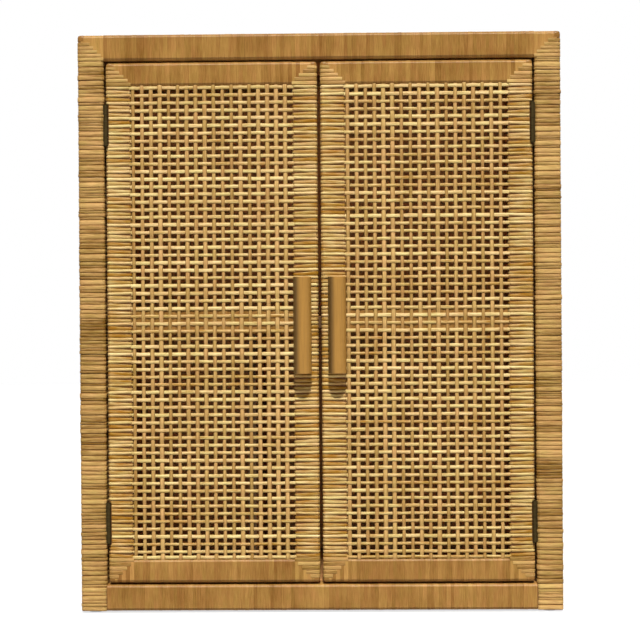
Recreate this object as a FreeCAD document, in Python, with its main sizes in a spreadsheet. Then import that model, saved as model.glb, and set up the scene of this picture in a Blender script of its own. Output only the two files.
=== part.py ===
"""Record cabinet: a wooden frame wound with cane, two woven cane doors, a shelf and record bays.

All lengths are in millimetres. X is the width, Y runs from the front to the back and Z is up.
The origin is on the floor, in the middle of the cabinet's overall box. The driving sizes are in
the sheet "sizes", and every other length is a formula of them that the document keeps bound.
The left half is modelled, and the right half is its reflection.
"""
import FreeCAD, Part
import Sketcher
import os
from types import SimpleNamespace

SIZES = [
    # overall
    ("width", 762, "over the two outer faces of the posts"),
    ("height", 914.4, "from the floor to the top"),
    ("depth", 406.4, "from the front faces to the back faces of the posts"),
    ("glide_height", 3, "floor glides lift the frame by this"),
    ("glide_radius", 11, "round foot of a glide"),
    ("glide_nail", 16, "length of a glide's nail in its post"),
    # frame
    ("member_core", 38.1, "square wooden core of a post or rail"),
    ("cane_wrap", 1.6, "thickness of the cane wound on a member"),
    ("edge_round", 3.5, "rounding of a wound edge"),
    ("tenon_length", 12, "stub tenon of a frame rail in its post"),
    ("tenon_thickness", 12, "thickness of a frame rail's tenon"),
    ("tenon_shoulder", 6, "step above and below a tenon"),
    # panels
    ("liner_thickness", 12, "plywood sides of the inside"),
    ("liner_setback", 26, "from the front faces to the liners"),
    ("panel_thickness", 15, "top and bottom panels"),
    ("cleat", 15, "square batten under a panel's edge"),
    ("back_thickness", 6, "back panel"),
    ("back_inset", 2, "back panel behind the posts' back faces"),
    # inside
    ("shelf_thickness", 18, "shelf over the records"),
    ("shelf_top", 467, "height of the shelf's top over the floor"),
    ("shelf_play", 1, "between the shelf and what is beside it"),
    ("shelf_pin_radius", 2.5, "shelf pin"),
    ("shelf_pin_depth", 10, "shelf pin in its liner"),
    ("shelf_pin_reach", 10, "shelf pin under the shelf"),
    ("shelf_pin_inset", 45, "from a liner's front or back edge to the shelf pin"),
    ("divider_thickness", 12, "upright between two record bays"),
    ("divider_setback", 48, "from the front faces to the dividers"),
    ("divider_groove", 4, "depth of a divider in the bottom panel and the shelf"),
    # doors
    ("side_gap", 3.2, "between a door and its post"),
    ("middle_gap", 4.8, "between the two doors"),
    ("end_gap", 3.2, "above and below a door"),
    ("door_core", 19, "thickness of a door's wooden members"),
    ("stile_core", 36.5, "width of a door stile's core"),
    ("door_rail_core", 34, "height of a door rail's core"),
    ("door_tenon_length", 10, "stub tenon of a door rail in its stile"),
    ("door_tenon_thickness", 8, "thickness of a door rail's tenon"),
    # woven cane
    ("strand_width", 5.6, "one strand of cane"),
    ("strand_thickness", 1.5, "one strand of cane"),
    ("weft_pitch", 11.78, "between level strands, before they are spaced out evenly"),
    ("warp_pitch", 14.15, "between upright strands, before they are spaced out evenly"),
    # pulls
    ("pull_radius", 14.3, "pole that the pull is cut from"),
    ("pull_flat", 10, "from the pole's axis to its planed back"),
    ("pull_length", 152.4, "over the pull's ends"),
    ("pull_inset", 25, "from the door's free edge to the pull's middle"),
    ("pull_drop", 5, "pull's middle below the door's middle"),
    ("pull_rounding", 1.2, "rounded ends of the pull"),
    ("pull_screw_spacing", 96, "between a pull's two screws"),
    ("pull_screw_radius", 2, "shank of a pull screw"),
    ("pull_screw_bite", 13, "pull screw in the pull"),
    ("pull_screw_head", 2.5, "height of a pull screw's round head"),
    # hinges
    ("hinge_length", 63.5, "butt hinge"),
    ("hinge_below_top", 67, "from a door's top to its upper hinge"),
    ("hinge_above_bottom", 63, "from a door's bottom to its lower hinge"),
    ("knuckle_radius", 3.2, "hinge barrel"),
    ("knuckle_gap", 0.3, "between two knuckles"),
    ("hinge_pin_radius", 1.6, "hinge pin"),
    ("hinge_pin_head", 1.2, "height of a hinge pin's two ends over the barrel"),
    ("leaf_thickness", 1.5, "hinge leaf"),
    ("leaf_width", 15.3, "hinge leaf, from its front edge to its back edge"),
    ("leaf_lap", 0.5, "a knuckle runs into its leaf by this"),
    ("barrel_clearance", 0.4, "around a hinge's barrel"),
    ("notch_clearance", 1.5, "between a barrel and its notch in the door"),
    ("hinge_end_clearance", 2.25, "above and below a barrel in its notch"),
    # fasteners
    ("running_fit", 0.05, "radial play of a pin or a screw in its hole"),
    ("seat_fit", 0.1, "play around a part that is let in"),
    ("screw_radius", 1.4, "shank of a wood screw"),
    ("screw_head_radius", 3, "countersunk head of a wood screw"),
    ("hinge_screw_length", 16, "wood screw of a hinge"),
    ("panel_screw_length", 30, "wood screw of a liner or the back panel"),
    # catches
    ("catch_offset", 65, "from the middle of the cabinet to a catch"),
    ("catch_length", 40, "magnetic catch, along the rail"),
    ("catch_depth", 16, "magnetic catch, from front to back"),
    ("catch_height", 14, "magnetic catch"),
    ("magnet_length", 28, "magnet in a catch"),
    ("magnet_depth", 8, "magnet in a catch"),
    ("magnet_height", 7, "magnet in a catch"),
    ("strike_thickness", 1.2, "steel plate on a door"),
    ("strike_height", 12, "steel plate on a door"),
    ("strike_gap", 0.3, "between a closed door's steel plate and its catch"),
    ("catch_screw_length", 30, "wood screw of a catch"),
]
KNUCKLES = 5
SCREWS_PER_LEAF = 3
SCREWS_PER_EDGE = 4
SCREWS_PER_POST = 3
MIDDLE_PLANE = FreeCAD.Vector(1, 0, 0)
PLANES = {"x": ("YZ_Plane", "y", "z"), "y": ("XZ_Plane", "x", "z"), "z": ("XY_Plane", "x", "y")}
TURNS = {
    "+x": ((0, 1, 0), 90), "-x": ((0, 1, 0), -90),
    "+y": ((1, 0, 0), -90), "-y": ((1, 0, 0), 90),
    "+z": ((0, 0, 1), 0), "-z": ((1, 0, 0), 180),
}


class Size:
    """A length as a formula of the sheet's cells. Python's operators join formulas."""

    def __init__(self, formula):
        self.formula = formula

    def __str__(self):
        return self.formula

    def __add__(self, other):
        return Size(f"({self} + {other})")

    def __radd__(self, other):
        return Size(f"({other} + {self})")

    def __sub__(self, other):
        return Size(f"({self} - {other})")

    def __rsub__(self, other):
        return Size(f"({other} - {self})")

    def __mul__(self, other):
        return Size(f"({self} * {other})")

    def __rmul__(self, other):
        return Size(f"({other} * {self})")

    def __truediv__(self, other):
        return Size(f"({self} / {other})")

    def __neg__(self):
        return Size(f"(0 - {self})")


doc = FreeCAD.newDocument("record_cabinet")
sheet = doc.addObject("Spreadsheet::Sheet", "sizes")
for row, (alias, value, meaning) in enumerate(SIZES, start=1):
    sheet.set(f"A{row}", str(value))
    sheet.setAlias(f"A{row}", alias)
    sheet.set(f"B{row}", meaning)
doc.recompute()
size = SimpleNamespace(**{alias: Size(f"sizes.{alias}") for alias, value, meaning in SIZES})

blanks = {}      # piece: the object before its holes and housings are cut
cutters = {}     # piece: what is cut out of it
nodes = {}       # node: its finished object


# ---------------------------------------------------------------- spans along one axis

def inset(span, by):
    """The span, shortened at both ends."""
    return span[0] + by, span[1] - by


def centred(middle, length):
    """The span of this length about a middle."""
    return middle - length / 2, middle + length / 2


def middle_of(span):
    return (span[0] + span[1]) / 2


def rounded(formula):
    """The nearest whole number, for a count."""
    return Size(f"round({formula})")


# ---------------------------------------------------------------- shapes

def block(name, x, y, z):
    """A box between three spans."""
    box = doc.addObject("Part::Box", name)
    for side, axis, (low, high) in zip(("Length", "Width", "Height"), "xyz", (x, y, z)):
        box.setExpression(side, f"({high}) - ({low})")
        box.setExpression(f"Placement.Base.{axis}", str(low))
    return box


def joined(name, pieces):
    """One piece out of several."""
    if len(pieces) == 1:
        return pieces[0]
    fuse = doc.addObject("Part::MultiFuse", name)
    fuse.Shapes = pieces
    return fuse


def grouped(name, pieces):
    """Several pieces that stay separate solids."""
    group = doc.addObject("Part::Compound", name)
    group.Links = pieces
    return group


def cut(name, base, tools):
    """The base without the tools."""
    result = doc.addObject("Part::Cut", name)
    result.Base = base
    result.Tool = joined(f"{name}_tools", tools)
    return result


def mirrored(name, source):
    """The source's twin on the other side of the cabinet."""
    twin = doc.addObject("Part::Mirroring", name)
    twin.Source = source
    twin.Normal = MIDDLE_PLANE
    return twin


def both_sides(name, source):
    """The source and its twin."""
    return grouped(name, [source, mirrored(f"{name}_twin", source)])


def turned(name, direction, start, sections):
    """Coaxial rounds stacked from start along a direction: (length, first radius, last radius)."""
    turn_axis, turn_angle = TURNS[direction]
    reach = Size("0")
    pieces = []
    for length, first, last in sections:
        if first is last:
            piece = doc.addObject("Part::Cylinder", name)
            piece.setExpression("Radius", str(first))
        else:
            piece = doc.addObject("Part::Cone", name)
            piece.setExpression("Radius1", str(first))
            piece.setExpression("Radius2", str(last))
        piece.setExpression("Height", str(length))
        rotation = FreeCAD.Rotation(FreeCAD.Vector(*turn_axis), turn_angle)
        piece.Placement = FreeCAD.Placement(FreeCAD.Vector(), rotation)
        for axis, place in zip("xyz", start):
            along = f" {direction[0]} {reach}" if axis == direction[1] else ""
            piece.setExpression(f"Placement.Base.{axis}", f"{place}{along}")
        reach = reach + length
        pieces.append(piece)
    return joined(f"{name}_round", pieces)


def sketch_on(body, plane):
    """An empty sketch on one of the body's own origin planes."""
    sketch = body.newObject("Sketcher::SketchObject", f"{body.Name}_sketch")
    support = next(item for item in body.Origin.OriginFeatures if item.Role == plane)
    sketch.AttachmentSupport = [(support, "")]
    sketch.MapMode = "FlatFace"
    return sketch


def sketch_rectangle(sketch, wide, tall):
    """A rectangle from the sketch's origin, bound to two formulas."""
    corners = [FreeCAD.Vector(*corner) for corner in ((0, 0, 0), (1, 0, 0), (1, 1, 0), (0, 1, 0))]
    for index in range(4):
        sketch.addGeometry(Part.LineSegment(corners[index], corners[(index + 1) % 4]))
    for index in range(4):
        sketch.addConstraint(Sketcher.Constraint("Coincident", index, 2, (index + 1) % 4, 1))
    for level, upright in ((0, 1), (2, 3)):
        sketch.addConstraint(Sketcher.Constraint("Horizontal", level))
        sketch.addConstraint(Sketcher.Constraint("Vertical", upright))
    sketch.addConstraint(Sketcher.Constraint("Coincident", 0, 1, -1, 1))
    for kind, edge, formula in (("DistanceX", 0, wide), ("DistanceY", 1, tall)):
        number = sketch.addConstraint(Sketcher.Constraint(kind, edge, 1, edge, 2, 1.0))
        sketch.setExpression(f"Constraints[{number}]", str(formula))


def place(body, corner):
    """Binds where the body's own origin lies."""
    for axis, formula in zip("xyz", corner):
        body.setExpression(f"Placement.Base.{axis}", str(formula))


def padded(name, along, x, y, z):
    """A PartDesign body with one rectangular pad between three spans, and the pad."""
    spans = dict(zip("xyz", (x, y, z)))
    plane, wide, tall = PLANES[along]
    body = doc.addObject("PartDesign::Body", name)
    sketch = sketch_on(body, plane)
    sketch_rectangle(sketch, spans[wide][1] - spans[wide][0], spans[tall][1] - spans[tall][0])
    pad = body.newObject("PartDesign::Pad", f"{name}_pad")
    pad.Profile = sketch
    pad.Reversed = along == "y"
    pad.setExpression("Length", str(spans[along][1] - spans[along][0]))
    place(body, [spans[axis][0] for axis in "xyz"])
    return body, pad


def wound_bar(name, along, x, y, z, corners):
    """The outside of a wound member, with the named corners of its section rounded.

    A corner is a pair of signs, for the first and the second of the two axes across the bar.
    """
    body, pad = padded(name, along, x, y, z)
    doc.recompute()
    wide, tall = PLANES[along][1:]
    centre = pad.Shape.BoundBox.Center
    names = []
    for number, edge in enumerate(pad.Shape.Edges, start=1):
        offset = edge.CenterOfMass - centre
        signs = tuple(1 if getattr(offset, axis) > 0 else -1 for axis in (wide, tall))
        tangent = edge.tangentAt(edge.FirstParameter)
        if abs(getattr(tangent, along)) > 0.5 and signs in corners:
            names.append(f"Edge{number}")
    rounding = body.newObject("PartDesign::Fillet", f"{name}_rounding")
    rounding.Base = (pad, names)
    rounding.setExpression("Radius", f"min({size.edge_round}; 3 * {size.cane_wrap})")
    body.Tip = rounding
    return body


def strands(name, corner, lengths, along, count, pitch):
    """A row of equal strands of cane that starts at corner and repeats along one axis."""
    spans = [(low, low + length) for low, length in zip(corner, lengths)]
    body, pad = padded(name, "z", *spans)
    body.AllowCompound = True
    row = body.newObject("PartDesign::LinearPattern", f"{name}_row")
    row.Originals = [pad]
    axis = next(item for item in body.Origin.OriginFeatures if item.Role == f"{along.upper()}_Axis")
    row.Direction = (axis, [""])
    row.setExpression("Length", f"({pitch}) * ({count} - 1)")
    row.setExpression("Occurrences", str(count))
    body.Tip = row
    return body


# ---------------------------------------------------------------- pieces and nodes

def cut_into(tool, *names):
    """The tool is cut out of the named pieces when they are finished."""
    for name in names:
        cutters.setdefault(name, []).append(tool)


def finished(name):
    """A piece with everything cut out of it that the other pieces asked for."""
    if name in cutters:
        return cut(f"{name}_cut", blanks[name], cutters[name])
    return blanks[name]


def add_node(name, item):
    """Names a finished object. Its name becomes its file's name."""
    item.Label = name
    nodes[name] = item


def add_pair(left_name, item):
    """A node on the left and its twin on the right."""
    right_name = left_name.replace("left", "right")
    add_node(right_name, mirrored(f"{right_name}_twin", item))
    add_node(left_name, item)


def screw(direction, head, length, *through):
    """A countersunk wood screw whose head is flush at a point, and its holes."""
    play = size.running_fit
    shank = size.screw_radius
    top = size.screw_head_radius
    sink = size.leaf_thickness
    for piece in through:
        hole = [(sink, top + play, shank + play)]
        bore = shank + play
        hole.append((length - sink + play, bore, bore))
        cut_into(turned("screw_hole", direction, head, hole), piece)
    return turned("screw", direction, head, [(sink, top, shank), (length - sink, shank, shank)])


# ---------------------------------------------------------------- where things are

wrap = size.cane_wrap
half_width = size.width / 2
member = size.member_core + 2 * wrap
front = (size.pull_radius + size.pull_flat - size.depth) / 2
back = front + size.depth
opening = half_width - member                       # half of the opening's width

post_x = (-half_width, -opening)
front_y = (front, front + member)
back_y = (back - member, back)
post_z = (size.glide_height, size.height)
rail_x = (-opening, opening)
side_rail_y = (front_y[1], back_y[0])
bottom_rail_z = (size.glide_height, size.glide_height + member)
top_rail_z = (size.height - member, size.height)
opening_z = (bottom_rail_z[1], top_rail_z[0])

liner_x = (-opening, -opening + size.liner_thickness)
liner_y = (front + size.liner_setback, back - size.back_inset - size.back_thickness)
inside_x = (liner_x[1], -liner_x[1])
shelf_z = (size.shelf_top - size.shelf_thickness, size.shelf_top)

door_x = (-opening + size.side_gap, -size.middle_gap / 2)
door_y = (front, front + size.door_core + 2 * wrap)
door_z = inset(opening_z, size.end_gap)
stile = size.stile_core + 2 * wrap
door_rail = size.door_rail_core + 2 * wrap
hinge_stile_x = (door_x[0], door_x[0] + stile)
free_stile_x = (door_x[1] - stile, door_x[1])
woven_x = (hinge_stile_x[1], free_stile_x[0])
woven_z = inset(door_z, door_rail)
weave = 2 * size.strand_thickness

LOW_LOW, LOW_HIGH, HIGH_LOW, HIGH_HIGH = (-1, -1), (-1, 1), (1, -1), (1, 1)


# ---------------------------------------------------------------- frame

def post(name, y, corners):
    """A post: a square core from the glide to the cane over its top, and its winding."""
    core_z = (post_z[0], post_z[1] - wrap)
    core = block(f"{name}_core", inset(post_x, wrap), inset(y, wrap), core_z)
    winding = wound_bar(f"{name}_winding", "z", post_x, y, post_z, corners)
    blanks[name] = core
    blanks[f"{name}_cane"] = cut(f"{name}_sleeve", winding, [core])


def rail(name, along, x, y, z, tenon, corners, *members):
    """A rail: core with stub tenons, and its winding. It is let into the members at its ends.

    The tenon is its length, its thickness and the axis that the thickness lies along.
    """
    tenon_length, tenon_thickness, across = tenon
    core_spans = {axis: inset(span, wrap) for axis, span in zip("xyz", (x, y, z))}
    core_spans[along] = inset(dict(x=x, y=y, z=z)[along], -wrap)
    tenon_spans = dict(core_spans)
    tenon_spans[along] = inset(core_spans[along], -tenon_length)
    tenon_spans[across] = centred(middle_of(core_spans[across]), tenon_thickness)
    tenon_spans["z"] = inset(core_spans["z"], size.tenon_shoulder)
    core = block(f"{name}_core", **core_spans)
    tenons = block(f"{name}_tenons", **tenon_spans)
    winding = wound_bar(f"{name}_winding", along, x, y, z, corners)
    blanks[name] = joined(f"{name}_blank", [core, tenons])
    blanks[f"{name}_cane"] = cut(f"{name}_sleeve", winding, [core])
    for end in members:
        cut_into(tenons, end)
        cut_into(core, f"{end}_cane")


def frame():
    """Posts and rails of the carcass. Only edges that nothing adjoins are rounded."""
    tenon_x = (size.tenon_length, size.tenon_thickness, "x")
    tenon_y = (size.tenon_length, size.tenon_thickness, "y")
    post("front_left_post", front_y, (LOW_LOW, HIGH_LOW))
    post("back_left_post", back_y, (LOW_HIGH, HIGH_HIGH))
    for level, z, outer in (("bottom", bottom_rail_z, -1), ("top", top_rail_z, 1)):
        inner = -outer
        rail(f"front_{level}_rail", "x", rail_x, front_y, z, tenon_y,
             ((-1, outer), (-1, inner)), "front_left_post")
        rail(f"back_{level}_rail", "x", rail_x, back_y, z, tenon_y,
             ((1, outer),), "back_left_post")
        rail(f"left_{level}_rail", "y", post_x, side_rail_y, z, tenon_x,
             ((-1, outer),), "front_left_post", "back_left_post")


def glides():
    """Nailed floor glides under the posts."""
    play = size.running_fit
    nail = size.hinge_pin_radius
    foot = size.glide_radius
    pieces = []
    for name, y in (("front_left_post", front_y), ("back_left_post", back_y)):
        at = (middle_of(post_x), middle_of(y), 0)
        sections = [(size.glide_height, foot, foot), (size.glide_nail, nail, nail)]
        pieces.append(turned("glide", "+z", at, sections))
        bore = nail + play
        above = (at[0], at[1], size.glide_height)
        cut_into(turned("nail_hole", "+z", above, [(size.glide_nail + play, bore, bore)]), name)
    add_node("floor_glides", both_sides("glides", grouped("left_glides", pieces)))


# ---------------------------------------------------------------- panels and inside

def panels():
    """Top, bottom and back panels, the cane on the top, and the battens under the panels."""
    bottom_z = (bottom_rail_z[1] - size.panel_thickness, bottom_rail_z[1])
    top_z = (size.height - wrap - size.panel_thickness, size.height - wrap)
    blanks["bottom_panel"] = block("bottom_blank", rail_x, side_rail_y, bottom_z)
    blanks["top_panel"] = block("top_blank", rail_x, side_rail_y, top_z)
    blanks["top_cane"] = block("top_skin", rail_x, side_rail_y, (top_z[1], size.height))
    back_span = (liner_y[1], liner_y[1] + size.back_thickness)
    blanks["back_panel"] = block("back_blank", rail_x, back_span, opening_z)
    battens = []
    for top in (bottom_z[0], top_z[0]):
        for y in ((front_y[1], front_y[1] + size.cleat), (back_y[0] - size.cleat, back_y[0])):
            battens.append(block("batten", inside_x, y, (top - size.cleat, top)))
    add_node("panel_battens", grouped("battens", battens))


def liners():
    """Plywood sides of the inside, screwed to the posts, and the screws of the back panel."""
    blanks["left_liner"] = block("liner_blank", liner_x, liner_y, opening_z)
    liner_length = opening_z[1] - opening_z[0]
    screws = []
    rows = (
        ("front_left_post", front + size.liner_setback + size.screw_head_radius * 2),
        ("back_left_post", middle_of(back_y)),
    )
    for name, y in rows:
        for index in range(SCREWS_PER_POST):
            z = opening_z[0] + liner_length * (2 * index + 1) / (2 * SCREWS_PER_POST)
            at = (liner_x[1], y, z)
            through = ("left_liner", name, f"{name}_cane")
            screws.append(screw("-x", at, size.panel_screw_length, *through))
    add_node("liner_screws", both_sides("liner_screw_set", grouped("left_liner_screws", screws)))
    screws = []
    for index in range(SCREWS_PER_EDGE):
        z = opening_z[0] + liner_length * (2 * index + 1) / (2 * SCREWS_PER_EDGE)
        at = (middle_of(liner_x), liner_y[1] + size.back_thickness, z)
        screws.append(screw("-y", at, size.panel_screw_length, "left_liner", "back_left"))
    holes = cutters.pop("back_left")
    cut_into(both_sides("back_screw_holes", grouped("left_back_screw_holes", holes)), "back_panel")
    add_node("back_screws", both_sides("back_screw_set", grouped("left_back_screws", screws)))


def shelf():
    """Shelf on four pins, and the two dividers that stand in grooves."""
    x = inset(inside_x, size.shelf_play)
    blanks["shelf"] = block("shelf_blank", x, inset(liner_y, size.shelf_play), shelf_z)
    radius = size.shelf_pin_radius
    bore = radius + size.running_fit
    pins = []
    for y in inset(liner_y, size.shelf_pin_inset):
        at = (liner_x[1] - size.shelf_pin_depth, y, shelf_z[0] - radius)
        length = size.shelf_pin_depth + size.shelf_pin_reach
        pins.append(turned("shelf_pin", "+x", at, [(length, radius, radius)]))
        cut_into(turned("shelf_pin_hole", "+x", at, [(length, bore, bore)]), "left_liner")
    add_node("shelf_pins", both_sides("shelf_pin_set", grouped("left_shelf_pins", pins)))
    thick = size.divider_thickness
    bay = (inside_x[1] - inside_x[0] - 2 * thick) / 3
    y = (front + size.divider_setback, side_rail_y[1])
    groove = size.divider_groove
    z = (bottom_rail_z[1] - groove, shelf_z[0] + groove)
    divider = block("divider", centred(-(bay + thick) / 2, thick), y, z)
    dividers = both_sides("dividers", divider)
    cut_into(dividers, "bottom_panel", "shelf")
    add_node("record_dividers", dividers)


def woven_panel(name, along, corner, width, height, inward):
    """A panel of plain-woven cane: level strands outside and upright strands behind them.

    The first upright strand lies against the member at the corner.
    """
    strand = size.strand_width
    thick = size.strand_thickness
    rows = rounded((height + strand) / size.weft_pitch)
    columns = rounded(width / size.warp_pitch)
    row_pitch = (height + strand) / rows
    x, y, z = corner
    if along == "x":
        level_size = (width, thick, strand)
        upright_size = (strand, thick, height)
        level_at = (x, y, z + row_pitch - strand)
        upright_at = (x, y + inward * thick, z)
    else:
        level_size = (thick, width, strand)
        upright_size = (thick, strand, height)
        level_at = (x, y, z + row_pitch - strand)
        upright_at = (x + inward * thick, y, z)
    level = strands(f"{name}_level", level_at, level_size, "z", rows - 1, row_pitch)
    upright = strands(f"{name}_upright", upright_at, upright_size, along, columns, width / columns)
    return grouped(f"{name}_woven", [level, upright])


def side_cane():
    """Woven cane in the frame's sides, flush with the posts."""
    corner = (post_x[0], side_rail_y[0], opening_z[0])
    width = side_rail_y[1] - side_rail_y[0]
    height = opening_z[1] - opening_z[0]
    add_pair("left_side_cane", woven_panel("side", "y", corner, width, height, 1))


# ---------------------------------------------------------------- doors

def door_frame():
    """Stiles, three rails and their windings. The middle rail lies behind the woven cane."""
    core_z = inset(door_z, wrap)
    core_y = inset(door_y, wrap)
    stiles = (("left_hinge_stile", hinge_stile_x, (LOW_LOW, LOW_HIGH)),
              ("left_free_stile", free_stile_x, (HIGH_LOW, HIGH_HIGH)))
    for name, x, corners in stiles:
        core = block(f"{name}_core", inset(x, wrap), core_y, core_z)
        winding = wound_bar(f"{name}_winding", "z", x, door_y, door_z, corners)
        blanks[name] = core
        blanks[f"{name}_cane"] = cut(f"{name}_sleeve", winding, [core])
    tenon = (size.door_tenon_length, size.door_tenon_thickness, "y")
    ends = ("left_hinge_stile", "left_free_stile")
    top_z = (door_z[1] - door_rail, door_z[1])
    bottom_z = (door_z[0], door_z[0] + door_rail)
    middle_z = centred(middle_of(door_z), door_rail)
    middle_y = (door_y[0] + weave, door_y[1])
    rail("left_door_top_rail", "x", woven_x, door_y, top_z, tenon, (LOW_HIGH, HIGH_HIGH), *ends)
    rail("left_door_bottom_rail", "x", woven_x, door_y, bottom_z, tenon, (LOW_LOW, HIGH_LOW), *ends)
    rail("left_door_middle_rail", "x", woven_x, middle_y, middle_z, tenon, (HIGH_LOW, HIGH_HIGH), *ends)


def door_cane():
    """Woven cane of both doors. It isn't a reflection: each door's weave starts at its left."""
    width = woven_x[1] - woven_x[0]
    height = woven_z[1] - woven_z[0]
    for side, x in (("left", woven_x[0]), ("right", -woven_x[1])):
        corner = (x, door_y[0], woven_z[0])
        add_node(f"{side}_door_cane", woven_panel(f"{side}_door", "x", corner, width, height, 1))


def pull():
    """Door pull: a pole with its back planed flat, and two screws from inside the door."""
    body = doc.addObject("PartDesign::Body", "pull")
    sketch = sketch_on(body, "XY_Plane")
    # drawn at the sheet's sizes, and then bound to them
    radius, flat = float(sheet.pull_radius), float(sheet.pull_flat)
    half_flat = (radius ** 2 - flat ** 2) ** 0.5
    circle = Part.Circle(FreeCAD.Vector(), FreeCAD.Vector(0, 0, 1), radius)
    ends = [FreeCAD.Vector(sign * half_flat, flat, 0) for sign in (-1, 1)]
    angles = [circle.parameter(end) for end in ends]
    sketch.addGeometry(Part.ArcOfCircle(circle, angles[0], angles[1]))
    sketch.addGeometry(Part.LineSegment(ends[1], ends[0]))
    sketch.addConstraint(Sketcher.Constraint("Coincident", 0, 2, 1, 1))
    sketch.addConstraint(Sketcher.Constraint("Coincident", 1, 2, 0, 1))
    sketch.addConstraint(Sketcher.Constraint("Coincident", 0, 3, -1, 1))
    sketch.addConstraint(Sketcher.Constraint("Horizontal", 1))
    number = sketch.addConstraint(Sketcher.Constraint("Radius", 0, radius))
    sketch.setExpression(f"Constraints[{number}]", str(size.pull_radius))
    number = sketch.addConstraint(Sketcher.Constraint("DistanceY", -1, 1, 1, 1, flat))
    sketch.setExpression(f"Constraints[{number}]", str(size.pull_flat))
    pole = body.newObject("PartDesign::Pad", "pole")
    pole.Profile = sketch
    pole.setExpression("Length", str(size.pull_length))
    doc.recompute()
    ends = [f"Edge{number}" for number, edge in enumerate(pole.Shape.Edges, start=1)
            if abs(edge.BoundBox.ZLength) < 0.01]
    rounding = body.newObject("PartDesign::Fillet", "pull_rounding_ends")
    rounding.Base = (pole, ends)
    rounding.setExpression("Radius", str(size.pull_rounding))
    body.Tip = rounding
    x = door_x[1] - size.pull_inset
    z = centred(middle_of(door_z) - size.pull_drop, size.pull_length)
    place(body, (x, front - size.pull_flat, z[0]))
    blanks["left_pull"] = body

    shank = size.pull_screw_radius
    head = 2 * shank
    bore = shank + size.running_fit
    thick = door_y[1] - door_y[0]
    screws = []
    for z in centred(middle_of(door_z) - size.pull_drop, size.pull_screw_spacing):
        at = (x, door_y[1] + size.pull_screw_head, z)
        sections = [(size.pull_screw_head, head, head), (thick + size.pull_screw_bite, shank, shank)]
        screws.append(turned("pull_screw", "-y", at, sections))
        hole = [(thick + size.pull_screw_bite + size.running_fit, bore, bore)]
        hole = turned("pull_screw_hole", "-y", (x, door_y[1], z), hole)
        cut_into(hole, "left_pull", "left_free_stile", "left_free_stile_cane")
    add_pair("left_pull_screws", grouped("pull_screws", screws))


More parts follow.
